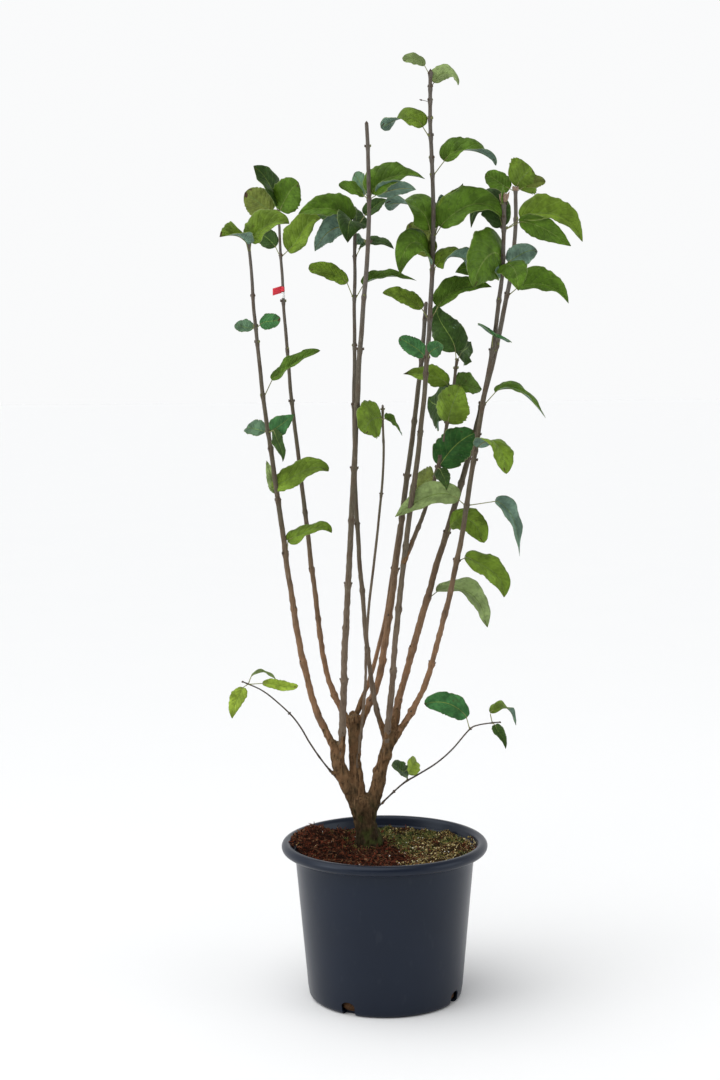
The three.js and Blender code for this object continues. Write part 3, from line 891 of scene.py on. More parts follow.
def buildSoil():
    made = {}
    for group, ((roughness, scale, depth, specular), names) in soilFinishes.items():
        made[group] = [
            plainFinish(name, colour, roughness, scale, depth, shade, Specular_IOR_Level=specular)
            for name, (colour, shade) in names.items()
        ]
    bark, notches = made["bark"], np.radians(pot["notch"]["turns"])
    made["crumbs"] = bark[:3]
    addPiece("soilTop", [soilSurface()], made["top"], ["soil", "mulch_heap"])
    generator = seeded("mulch")
    chips = [strew(generator, kind, bark) for kind in ("chips", "fibres")]
    addPiece("soilChips", chips, bark, smooth=False)
    addPiece("soilAtNotches", [notchPlug(turn) for turn in notches], made["root"])
    for kind in ("crumbs", "grit", "perlite", "moss"):
        grains = strew(seeded(kind), kind, made[kind])
        addPiece("soil" + kind.capitalize(), [grains], made[kind], smooth=False)
    print("soil built")


# Limbs

limbNames = sorted(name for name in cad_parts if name.startswith(("cane_", "twig_")))
boughNames = ["bough_centre", "bough_left", "bough_right"]
limbLines = {
    **{name: limbLine(name, 0.022, 0.034) for name in limbNames},
    **{name: limbLine(name, 0.045, 0.075, 0.02) for name in boughNames},
    "trunk": limbLine("trunk", 0.004, 0.004, 0.012),
}
limbLines["cane_4"] = limbLine("cane_4", 0.012, 0.024)
twigRoutes = {  # the bends that the solids' straight lengths leave out
    "twig_left": [
        (-0.074, 0.044, 0.362), (-0.084, 0.043, 0.376), (-0.107, 0.03, 0.408), (-0.128, 0.016, 0.443),
        (-0.144, 0.005, 0.474), (-0.161, -0.006, 0.499), (-0.188, -0.021, 0.527), (-0.212, -0.034, 0.547),
        (-0.242, -0.045, 0.563),
    ],
    "twig_right": [
        (-0.032, 0.048, 0.3), (-0.012, 0.044, 0.319), (0.032, 0.034, 0.363), (0.059, 0.025, 0.382),
        (0.092, 0.015, 0.405), (0.12, 0.004, 0.432), (0.148, -0.013, 0.469), (0.163, -0.019, 0.478),
        (0.186, -0.027, 0.483), (0.2, -0.03, 0.4848),
    ],
}
for name, route in twigRoutes.items():
    limbLines[name] = np.column_stack([route, np.linspace(0.0017, 0.0011, len(route))])

masses = {}  # for each limb, the name, root and tips of every mass of leaves on it
for name in sorted(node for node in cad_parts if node.startswith("foliage_")):
    limb = name[len("foliage_"):].rsplit("_", 1)[0]
    masses.setdefault(limb, []).append((name, *leafTips(name, smoothLine(limbLines[limb], 0.003))))

wood = {
    "voxel": 0.0013,
    "step": 0.004,
    "sides": 36,
    "boughSides": 24,
    "ribs": ((0.05, 3, 1, 14), (0.035, 7, 0, 30)),  # strength, count, start and twist of the waves round it
    "boughRibs": ((0.05, 2, 0, 40), (0.03, 5, 0, 90)),
    "roots": {"height": 0.06, "ridges": 0.16, "ripples": 0.06},  # how the trunk's foot swells into roots
    "fusedCane": 0.04,  # the length of each cane's foot that is one with its bough
    "collar": 1.35,  # how much a cane swells where it leaves its bough
    "collarFade": 0.03,
    "trunkRelief": 0.0024,
    "boughRelief": 0.0015,
    "knots": {  # bough: how far below its top, the turn round it, and the radius of each knot
        "bough_centre": [(0.006, 20, 0.0085), (0.008, 100, 0.008), (0.007, 190, 0.0085), (0.01, 290, 0.009)],
        "bough_left": [(0.002, 200, 0.0075), (0.004, 320, 0.007), (0.02, 250, 0.006)],
        "bough_right": [(0.006, 0, 0.009), (0.012, 250, 0.008), (0.045, 300, 0.009), (0.075, 160, 0.007)],
    },
    "splinters": 7,
    "splinterRadii": [0.0028, 0.0026, 0.0022, 0.0017, 0.001],
}


# A lump of the given radii, as a tube whose radius follows a half circle.
def lump(middle, axis, length, radius, sides=16):
    share = np.cos(np.linspace(np.pi, 0, 13))
    line = np.array(middle) + share[:, None] * unit(np.array(axis, float)) * length
    return tube(line, radius * np.sqrt(np.maximum(1 - share ** 2, 0.004)), sides, blunt=0.1)


# Waves round a limb that twist as it rises: 1 + the sum of strength × sin(count × turn + start + twist × z).
def ribsOf(waves, turn, heights):
    return 1 + sum(strength * np.sin(count * turn + start + twist * heights)
                   for strength, count, start, twist in waves)


def trunkPart():
    line = smoothLine(limbLines["trunk"], wood["step"])
    turn = turnsOf(wood["sides"])
    low = 1 - smoothStep(0.0, wood["roots"]["height"], line[:, 2] - line[0, 2])[:, None]
    ridges, ripples = np.maximum(np.sin(4 * turn + 0.6), 0), np.sin(9 * turn)
    roots = low ** 2 * (wood["roots"]["ridges"] * ridges + wood["roots"]["ripples"] * ripples)
    return tube(line[:, :3], line[:, 3:] * (ribsOf(wood["ribs"], turn, line[:, 2:3]) + roots), wood["sides"])


def boughParts(name):
    line = smoothLine(limbLines[name], wood["step"])
    waves = ribsOf(wood["boughRibs"], turnsOf(wood["sides"])[:wood["boughSides"]], line[:, 2:3])
    parts = [tube(line[:, :3], line[:, 3:] * waves, wood["boughSides"], blunt=0.15)]
    tangent, across, over = directionsAlong(line[:, :3])
    for below, turned, size in wood["knots"][name]:
        place = max(0, len(line) - 1 - round(below / wood["step"]))
        outward = aimed(np.radians(turned), across[place], over[place])
        middle = line[place, :3] + outward * line[place, 3] * 0.62
        parts.append(lump(middle, tangent[place] + 0.4 * outward, size * 1.15, size))
    return parts


# Splinters round the cut top of a bough.
def splinterParts(name):
    generator = seeded("splinters")
    line = smoothLine(limbLines[name], wood["step"])
    tangent, across, over = directionsAlong(line[:, :3])
    parts = []
    for turned in generator.uniform(0, 2 * np.pi, wood["splinters"]):
        outward = aimed(turned, across[-1], over[-1])
        foot = line[-1, :3] + outward * line[-1, 3] * generator.uniform(0.55, 0.95) - tangent[-1] * 0.004
        along = np.linspace(0, generator.uniform(0.006, 0.013), len(wood["splinterRadii"]))[:, None]
        parts.append(tube(foot + along * (tangent[-1] + 0.15 * outward), wood["splinterRadii"], 8))
    return parts


# The foot of a cane, which swells into its bough.
def canePart(name):
    line = smoothLine(limbLines[name], cane["step"])
    run = np.arange(len(line)) * cane["step"]
    foot = run < wood["fusedCane"] + wood["collarFade"] + wood["step"]
    line, run = line[foot], run[foot]
    fade = smoothStep(wood["collarFade"], wood["fusedCane"] + wood["collarFade"], run)
    swell = 1 + (wood["collar"] - 1) * (1 - fade)
    return tube(line[:, :3], line[:, 3] * swell, 16)


# Trunk, boughs and canes' feet made one skin, and every point of it moved along its normal by noise.
def buildWood():
    parts = [trunkPart()]
    for name in boughNames:
        parts += boughParts(name)
    parts += splinterParts("bough_centre") + [canePart(name) for name in limbNames]
    source = placed("woodSource", makeMesh("woodSource", joined(parts)))
    skin = source.modifiers.new("skin", "REMESH")
    skin.mode, skin.voxel_size, skin.use_smooth_shade = "VOXEL", wood["voxel"], True
    soften = source.modifiers.new("soften", "SMOOTH")
    soften.factor, soften.iterations = 0.5, 6
    mesh = finalMesh(source, "woodBark")
    bpy.data.objects.remove(source)
    points, normals = readAll(mesh.vertices, "co"), readAll(mesh.vertex_normals, "vector")
    height = smoothStep(0.3, 0.36, points[:, 2])
    depth = wood["trunkRelief"] + (wood["boughRelief"] - wood["trunkRelief"]) * height
    fibres = roughNoise(points, np.array([0.0045, 0.0045, 0.022]), 3, 21)
    burrs = roughNoise(points, 0.013, 2, 33)
    flakes = np.abs(roughNoise(points, np.array([0.007, 0.007, 0.013]), 2, 40))
    points += normals * (depth * (0.6 * fibres + 0.6 * burrs - 0.9 * flakes + 0.2))[:, None]
    mesh.vertices.foreach_set("co", points.ravel())
    middles, facing = readAll(mesh.polygons, "center"), readAll(mesh.polygons, "normal")
    slots = np.zeros(len(middles), np.int32)
    for name in boughNames:
        before, end = limbLines[name][-2:]
        axis, away = unit(end[:3] - before[:3]), middles - end[:3]
        slots[(lengths(away) < end[3] * 1.5) & (away @ axis > -0.001) & (facing @ axis > 0.55)] = 1
    mesh.polygons.foreach_set("material_index", slots)
    mesh.update()
    addObject("woodBark", mesh, [woodFinish(), cutWoodFinish()], ["trunk", *boughNames])
    print("trunk and boughs built:", len(middles), "faces")


cane = {
    "sides": 14,
    "step": 0.003,
    "padding": {"cane_1": 0.0015, "cane_2": 0.001, "twig_left": 0, "twig_right": 0},  # added to the radius
    "usualPadding": 0.0006,
    "thin": 0.0028,  # below this radius a limb has smaller buds
    "wander": (0.05, 0.0007),  # size and reach of its small bends
    "relief": (0.05, 0.24),  # strength of the fibres and of the flakes near the foot
    "knotSpacing": 0.095,  # below the lowest of the heights that follow
    "knotHeights": {
        "cane_1": (0.768, 0.858, 0.956, 1.046, 1.136, 1.166, 1.215, 1.294),
        "cane_2": (0.652, 0.738, 0.84, 1.034, 1.125, 1.21, 1.29),
        "cane_3": (0.648, 0.724, 0.835, 0.924, 1.03, 1.122, 1.21, 1.298, 1.449),
        "cane_4": (0.61, 0.877, 0.97),
        "cane_5": (0.706, 0.82, 0.93, 1.028, 1.129, 1.217, 1.291),
        "cane_6": (0.652, 0.734, 0.826, 0.9, 0.998, 1.108, 1.18, 1.206),
        "cane_7": (0.787, 0.891, 0.981, 1.081, 1.108, 1.18, 1.261, 1.32, 1.435, 1.498, 1.527, 1.547),
        "cane_8": (0.694, 0.81, 0.891, 1.025, 1.13, 1.222, 1.35, 1.408),
        "cane_9": (0.668, 0.757, 0.854, 0.932, 0.979, 1.123, 1.204, 1.275, 1.338, 1.386),
        "cane_10": (0.935, 1.09),
    },
    "driedStalk": {"limb": "cane_7", "height": 1.527, "way": (-0.98, -0.05, 0.2), "length": 0.016,
                   "radius": 0.0005, "pod": (0.0055, 0.0013)},
    "crowns": {"cane_8": (10, 0.011, 0.0037, 1.1), "cane_9": (8, 0.022, 0.0036, 0.5)},
    "knotSwell": 0.26,
    "knotLength": 0.0042,
    "startBare": 0.07,
    # thin and low make buds smaller on thin limbs and low down, and end and thinEnd are for those at the top
    "bud": {"length": 0.0056, "radius": 0.0022, "lean": 0.5, "thin": 0.65, "low": 0.75, "end": 1.25,
            "thinEnd": 0.7},
    "budFinishes": {  # colour and shade
        "budScales": ((0.075, 0.045, 0.022), 0.5),
        "budGreen": ((0.16, 0.17, 0.05), 0.6),
        "budPale": ((0.33, 0.22, 0.15), 0.45),
    },
    "tones": {"cane_3": "grey", "cane_4": "grey", "cane_7": "grey", "cane_5": "grey",
              "twig_left": "dark", "twig_right": "dark"},
}


# Knots stand where leaves leave the limb, at the heights given for it, and at even distances below these.
def knotsOf(name, line, run):
    leafy = [root[2] for _, root, _ in masses.get(name, [])]
    given = [high for high in cane["knotHeights"].get(name, ()) if high < line[-1, 2] - 0.008]
    heights = leafy + [high for high in given if min([1, *(abs(high - other) for other in leafy)]) > 0.014]
    knots = [np.interp(high, line[:, 2], run) for high in heights]
    gaps = max(1, round((min(knots) - cane["startBare"]) / cane["knotSpacing"])) if knots else 1
    lowest = min([*knots, run[-1]])
    knots += [cane["startBare"] + (lowest - cane["startBare"]) * k / gaps for k in range(gaps)]
    return np.array(sorted(knots))


# A bud is a small lathe of radius × sin(π t^0.7), widest below its middle and pointed at its tip.
def bud(root, axis, length, radius, slot=0):
    share = np.linspace(0.0, 1, 8)
    line = np.array(root) + share[:, None] * unit(np.array(axis)) * length
    return tube(line, radius * np.maximum(np.sin(np.pi * share ** 0.7), 0.12), 8, slot, blunt=0.4)


# The bark round a cane: fine relief runs along it, and flakes stand out near its foot.
def caneSkin(middle, radius, bare, across, over):
    fibreStrength, flakeStrength = cane["relief"]
    ring = aimed(turnsOf(cane["sides"])[:, None], across[:, None], over[:, None])
    skin = (middle[:, None] + radius[:, None, None] * ring).reshape(-1, 3)
    fibres = noise(skin, np.array([0.0022, 0.0022, 0.012]), 71).reshape(len(middle), -1)
    flakes = noise(skin, np.array([0.0045, 0.0045, 0.009]), 75).reshape(len(middle), -1)
    relief = fibreStrength * fibres + flakeStrength * smoothStep(0.45, 0.9, bare)[:, None] * flakes
    return tube(middle, radius[:, None] * (1 + relief), cane["sides"])


# Two buds at each knot, a quarter turn on from those below, and greener towards the top.
def knotBuds(generator, middle, radius, run, knots, ways, thin):
    quarter, size, parts = generator.random() * np.pi, cane["bud"], []
    for rank, knot in enumerate(knots):
        place, angle = int(np.argmin(abs(run - knot))), quarter + rank * np.pi / 2
        tangent, across, over = (way[place] for way in ways)
        scale = (size["thin"] if thin else 1.0) * generator.uniform(0.8, 1.15)
        scale *= size["low"] if knot < 0.35 * run[-1] else 1
        for side in (0, np.pi):
            outward = aimed(angle + side, across, over)
            axis = tangent + outward * size["lean"]
            root = middle[place] + outward * radius[place] * 0.8 + tangent * 0.0012
            slot = 2 if knot > 0.7 * run[-1] and generator.random() < 0.5 else 1
            parts.append(bud(root, axis, size["length"] * scale, size["radius"] * scale, slot))
    return parts


# A limb ends in two buds, or in the ring of pale old ones that its entry in crowns gives.
def endBuds(generator, name, tip, tangent, across, over, thin):
    size, crowned, parts = cane["bud"], name in cane["crowns"], []
    scale = size["thinEnd"] if thin else size["end"]
    usual = (2, size["length"] * scale, size["radius"] * scale, 0.35)
    count, length, radius, lean = cane["crowns"].get(name, usual)
    for side in turnsOf(count):
        axis = tangent + lean * generator.uniform(0.6, 1.1) * aimed(side, across, over)
        root, long = tip - tangent * 0.002, length * generator.uniform(0.7, 1)
        parts.append(bud(root, axis, long, radius, 3 if crowned else 1))
    return parts


# A thin dry stalk with a small pod at its end.
def driedStalk(line):
    dry = cane["driedStalk"]
    away = atHeight(line, dry["height"])[:3] + np.linspace(0, dry["length"], 6)[:, None] * dry["way"]
    return [tube(away, np.full(6, dry["radius"]), 6, slot=1), bud(away[-2], dry["way"], *dry["pod"], 1)]


def growCane(name):
    generator = seeded(name)
    line = smoothLine(limbLines[name], cane["step"])
    run = np.arange(len(line)) * cane["step"]
    knots = knotsOf(name, line, run)
    thin, bare, usual = line[:, 3].max() < cane["thin"], 1 - run / run[-1], cane["usualPadding"]
    padding = cane["padding"].get(name, usual)
    middle, radius = line[:, :3].copy(), line[:, 3] + padding * (bare if padding > usual else 1)
    ways = directionsAlong(middle)
    across, over = ways[1:]
    wanderSize, wanderReach = cane["wander"]
    wander = np.column_stack([noise(middle * [0, 0, 1] + k, wanderSize, 60 + k) for k in range(2)])
    middle += (across * wander[:, :1] + over * wander[:, 1:]) * wanderReach
    for knot in knots:
        bulge = np.exp(-((run - knot) / cane["knotLength"]) ** 2)
        radius *= 1 + cane["knotSwell"] * generator.uniform(0.7, 1.25) * bulge
    parts = [caneSkin(middle, radius, bare, across, over)]
    parts += knotBuds(generator, middle, radius, run, knots, ways, thin)
    parts += endBuds(generator, name, middle[-1], *(way[-1] for way in ways), thin)
    return parts + (driedStalk(line) if name == cane["driedStalk"]["limb"] else [])


def buildCanes():
    barks = {tone: caneFinish(tone) for tone in caneTones}
    buds = [plainFinish(name, colour, 0.6, 500, 0.0003, shade)
            for name, (colour, shade) in cane["budFinishes"].items()]
    for name in limbNames:
        bark = barks[cane["tones"].get(name, "warm")]
        addPiece(name.replace("_", "") + "Bark", growCane(name), [bark, *buds], [name])
    print("canes built")


# Leaves

leaf = {
    "rows": 46,
    "crowding": 1.3,  # above 1, the rows stand closer together near the base
    "edges": (0.03, 0.1, 0.24, 0.42, 0.6, 0.8, 1.0),  # shares of the half width, from the midrib out
    "thickness": 0.0004,
    "stalkRadius": (0.00115, 0.0008),  # at the limb and further out
    "ribEnd": 0.85,  # where the rib under the blade runs out
    "veins": 7.0,
    "slant": 0.3,
    "quilting": 0.0012,  # how far the blade swells between its veins
    "cupping": 0.05,  # how far it is dented at random, as a share of its length
    "dents": (2.2, 1.1),  # how many dents there are along and across
    "ragged": 0.06,  # how much its width varies at random
    "bites": 22,  # how often it does
    "crimps": 15,  # the edge's waves, in radians from base to tip
    "lobes": 0.09,  # how far the base reaches back past the stalk, as a share of the width
    "lobeFade": 9,
    "outline": ((0.34, 0.4), (0.95, 1.05)),  # limits of its power at the base and, times point, at the tip
    "lineStep": 0.0008,
    "rounding": 12,  # how often its line is softened
}

# A leaf's look says in this order: its tint; in degrees face, which turns its upper side from straight up (0)
# to the front (90), fold, which raises both halves from the midrib, and how far above the level its stalk
# (rise), the foot of its blade (start) and its tip (end) point; and its width and stalk as shares of its
# length. By name come the arch's strength bend, twist (added to face by the tip), waist (taken off halfway),
# curl (bends the edges back), the height of the edge's waves and the share spoilt at the tip, both as shares
# of the length, point (1 for a drawn-out tip and less for a round one), and in metres down, which lowers the
# root, and x, y and z, which shift the tip from the solid's own.
leafHabit = {
    "bend": 0.36, "twist": 0, "waist": 0, "curl": 30, "waves": 0.025, "spoilt": 0.0, "point": 0.9, "down": 0.0,
    "x": 0, "y": 0, "z": 0,
}


def look(tint, face, fold, rise, start, end, width, stalk=0.2, **changes):
    return {**leafHabit, "tint": tint, "face": face, "fold": fold, "rise": rise, "start": start, "end": end,
            "width": width, "stalk": stalk, **changes}


# One look for each leaf of a mass, in the order in which leafTips gives them.
leafLooks = {
    "cane_1_1": [
        look("bright", 25, 45, 70, 40, -10, 0.75, spoilt=0.12, down=0.014),
        look("bright", 66, 36, 82, 52, -30, 0.8, 0.24, twist=-25, down=0.014, z=-0.017),
    ],
    "cane_1_2": [
        look("blue", 50, 36, 0, 0, 10, 0.52, 0.1, point=0.6),
        look("jade", 80, 15, 35, 30, 30, 0.62, spoilt=0.06, point=0.6),
    ],
    "cane_1_3": [look("mid", 36, 36, 64, 32, 14, 0.38, 0.27, point=0.6)],
    "cane_1_4": [
        look("blue", 50, 36, 5, 5, 0, 0.5, 0.1, point=0.45),
        look("dark", 60, 15, 10, -60, -112, 0.34, 0.3, x=0.004),
        look("jade", 112, 15, 20, 20, 25, 0.5, 0.1, point=1.1),
    ],
    "cane_1_5": [
        look("pale", 45, 36, 75, 70, 60, 0.35),
        look("bright", 72, 28, 112, 18, -42, 0.42, 0.28, twist=-50, point=0.45),
    ],
    "cane_1_6": [look("bright", 74, 24, 86, 20, -70, 0.42, 0.3, waist=48, point=0.7, x=-0.002, z=-0.008)],
    "cane_2_1": [
        look("olive", 75, 12, 25, 25, 25, 0.8, spoilt=0.05, point=0.55),
        look("dark", 30, 25, 85, 75, 35, 0.85, twist=50),
        look("mid", 115, 16, 60, 50, 20, 0.88, 0.14, point=0.6),
    ],
    "cane_2_2": [
        look("dark", 60, 36, 55, 40, 10, 0.62, 0.3),
        look("bright", 66, 36, 42, 40, -12, 0.74, point=0.8, x=-0.002, z=-0.002),
    ],
    "cane_3_1": [
        look("blue", 60, 20, 45, 45, 40, 0.5, point=0.6),
        look("mid", 58, 20, 30, 20, 0, 0.46, point=0.5),
        look("under", -40, 28, 30, 15, -15, 0.62),
        look("mid", 62, 36, 72, 60, -20, 0.66, 0.14, twist=-48),
    ],
    "cane_4_1": [
        look("bright", 75, 10, 20, 10, -70, 1.0, 0.1, point=0.5, down=0.014),
        look("mid", 50, 36, 10, -5, -45, 0.42, 0.1, down=0.014),
    ],
    "cane_5_1": [
        look("dark", 50, 20, 42, 30, 5, 0.5, z=0.018),
        look("mid", 58, 36, 62, 52, -24, 0.58, 0.18),
        look("under", -55, 20, 10, 5, -65, 0.7),
        look("dark", 30, 15, 50, 20, -88, 0.62, 0.12, bend=0.5),
        look("dark", 45, 36, 50, 35, 15, 0.6, 0.4),
        look("dark", 45, 36, 30, 25, 20, 0.7),
    ],
    "cane_5_2": [look("dark", 35, 30, 58, 35, -40, 0.5, 0.24), look("blue", 45, 36, 55, 35, -30, 0.4, 0.4)],
    "cane_5_3": [
        look("bright", 64, 20, 68, 36, -6, 0.44, 0.34, point=0.4, z=0.006),
        look("mid", 30, 38, 60, 30, -18, 0.42, 0.27, point=1.1),
    ],
    "cane_7_1": [
        look("pale", 58, 20, 60, 46, -40, 0.62, 0.36, point=0.45, x=0.006, z=-0.012),
        look("pale", 54, 28, 50, 66, -80, 0.5, bend=0.5, point=0.55, down=0.02, z=-0.03),
    ],
    "cane_7_2": [look("bright", 72, 22, 58, 62, -32, 0.56, 0.29, twist=-150, bend=0.4, point=0.5)],
    "cane_7_3": [look("mid", 54, 36, 52, 56, -62, 0.6, 0.33, twist=-80, point=0.65)],
    "cane_7_4": [
        look("mid", 68, 20, 76, 80, -18, 0.86, twist=-125, bend=0.42, point=0.6, z=-0.008),
        look("mid", 52, 36, 58, 46, -62, 0.6, 0.22, bend=0.46, z=-0.044),
        look("bright", 60, 36, 70, 72, 75, 0.42, 0.45),
        look("blue", 60, 36, 60, 60, 50, 0.5, 0.4, point=0.5),
    ],
    "cane_7_5": [
        look("olive", 62, 20, 80, 78, 70, 0.62, 0.3, point=0.5, x=-0.014, z=0.018),
        look("mid", 50, 24, 80, 70, -88, 0.42, bend=0.75),
        look("bright", 68, 16, 60, 50, -20, 0.8, twist=-165, point=0.38),
    ],
    "cane_7_6": [
        look("bright", 56, 30, 58, 40, -4, 0.48, 0.26, point=0.7, z=0.006),
        look("mid", 52, 38, 60, 56, -15, 0.48, 0.24),
    ],
    "cane_7_7": [
        look("jade", 62, 15, 50, 40, 30, 0.44, 0.1, point=0.5, z=0.008),
        look("jade", 110, 15, 50, 20, 0, 0.5),
    ],
    "cane_8_1": [
        look("mid", 70, 15, 30, 25, 20, 0.78, point=0.5),
        look("bright", 100, 16, 65, 60, 50, 2.0, 0.1, waves=0.05, point=0.6, down=-0.009,
             x=0.004, y=0.022, z=-0.011),
        look("olive", 60, 36, 30, 20, 5, 0.66, 0.36, point=0.6),
    ],
    "cane_8_2": [look("mid", 48, 46, 40, 16, -58, 0.6, 0.22, bend=0.42, z=-0.006)],
    "cane_8_3": [look("bright", 58, 24, 66, 40, -70, 0.5, 0.24, bend=0.5, point=0.55, x=0.013)],
    "cane_8_4": [look("pale", 12, 24, 38, 12, -80, 0.48, 0.18, twist=58, bend=0.5)],
    "cane_9_1": [look("mid", 90, 25, 60, 60, 65, 0.55, 0.1, point=0.8, y=0.03, z=-0.004)],
    "cane_9_2": [
        look("dark", 72, 20, 75, 72, -85, 0.42, 0.12, bend=0.85),
        look("mid", 118, 26, 26, -8, -35, 0.41, 0.26, twist=-60, z=-0.004),
        look("bright", 50, 40, 36, 16, -64, 0.5, 0.28, bend=0.46),
    ],
    "cane_9_3": [
        look("mid", 60, 20, 15, 5, -25, 0.7, 0.1),
        look("mid", 76, 12, 82, 74, -82, 0.78, 0.1, bend=0.44, x=-0.011, z=-0.009),
        look("mid", 22, 12, 40, 0, -86, 0.62, 0.1, bend=0.45),
        look("under", 60, 15, 40, 22, -12, 0.6, point=0.6, z=-0.006),
    ],
    "cane_9_4": [look("jade", -30, 16, 78, -12, -66, 1.7, 0.62, point=0.7, x=-0.039, y=-0.087, z=-0.035)],
    "cane_9_5": [look("mid", 20, 32, 48, 22, -54, 0.48, 0.3, bend=0.4)],
    "cane_9_6": [look("bright", -20, 18, 60, 40, -86, 0.52, 0.14, twist=74, bend=0.55, point=0.7)],
    "cane_9_7": [
        look("pale", 58, 26, 42, 36, -36, 0.38, 0.15),
        look("under", 50, 28, 8, -30, -84, 0.34, 0.4, bend=0.4, point=1.2),
    ],
    "cane_9_8": [look("bright", 24, 20, 24, -28, -95, 0.6, 0.16, twist=50, bend=0.42)],
    "cane_10_1": [
        look("dark", 80, 8, 85, 80, 105, 0.66, waves=0.14, x=-0.016, z=0.004),
        look("dark", 70, 10, 40, 40, 50, 0.8, waves=0.1),
    ],
    "cane_10_2": [
        look("bright", 66, 22, 60, 40, -5, 0.5, twist=-40, waves=0.04, spoilt=0.12, z=-0.006),
        look("mid", 60, 36, 50, 20, 0, 0.75, z=-0.03),
    ],
    "cane_10_3": [
        look("dark", 80, 10, 80, 75, 60, 1.15, x=-0.004, z=0.024),
        look("bright", 112, 8, 75, 72, 55, 0.95, 0.08, point=0.7),
    ],
    "cane_10_4": [
        look("olive", 60, 20, -60, -20, -45, 0.95, 0.22, point=0.6, z=-0.012),
        look("dark", 20, 12, 0, -30, -86, 0.42),
        look("deep", 66, 15, 60, 55, 20, 0.76, 0.1, waves=0.06, point=0.6),
    ],
    "twig_left_1": [
        look("lime", 20, 24, -10, -50, -86, 0.46, 0.25, x=-0.007),
        look("lime", 60, 34, 4, 4, 22, 0.3, 0.3, spoilt=0.03, point=0.4),
        look("pale", 45, 36, 62, 42, -50, 0.07, z=-0.013),
    ],
    "twig_right_1": [
        look("dark", 20, 36, 0, -45, -86, 0.32, x=0.008),
        look("bright", 40, 36, 112, 14, -66, 0.2, 0.27, twist=-50, bend=0.45, z=-0.004),
    ],
    "twig_right_2": [look("jade", 68, 12, 75, 50, -12, 0.48, 0.26, bend=0.4, point=0.5)],
    "twig_right_3": [
        look("dark", 85, 36, 88, -16, 0, 0.36, 0.24, point=0.5, z=-0.006),
        look("lime", 50, 36, 85, -10, -30, 0.5, point=0.5),
    ],
}
tints = list(leafColours)


# A leaf's own line lies in an upright plane: a straight stalk, then a cubic Bezier curve to its tip, rounded
# off. It comes with the length of its stalk.
def leafLine(root, tip, outward, habit):
    start = root[:3] + outward * root[3] * 0.7
    turns = np.radians([habit["rise"], habit["start"], habit["end"]])[:, None]
    stalkWay, startWay, endWay = np.cos(turns) * outward + np.sin(turns) * [0, 0, 1]
    base = start + habit["stalk"] * np.linalg.norm(tip - start) * stalkWay
    hand = habit["bend"] * np.linalg.norm(tip - base)
    first, second = base + hand * startWay, tip - hand * endWay
    t = np.linspace(0, 1, 100)[:, None]
    arch = (1 - t) ** 3 * base + 3 * t * (1 - t) ** 2 * first + 3 * t ** 2 * (1 - t) * second + t ** 3 * tip
    bow = softened(evenLine(np.vstack([start, arch]), leaf["lineStep"]), leaf["rounding"])
    return bow, np.linalg.norm(base - start)


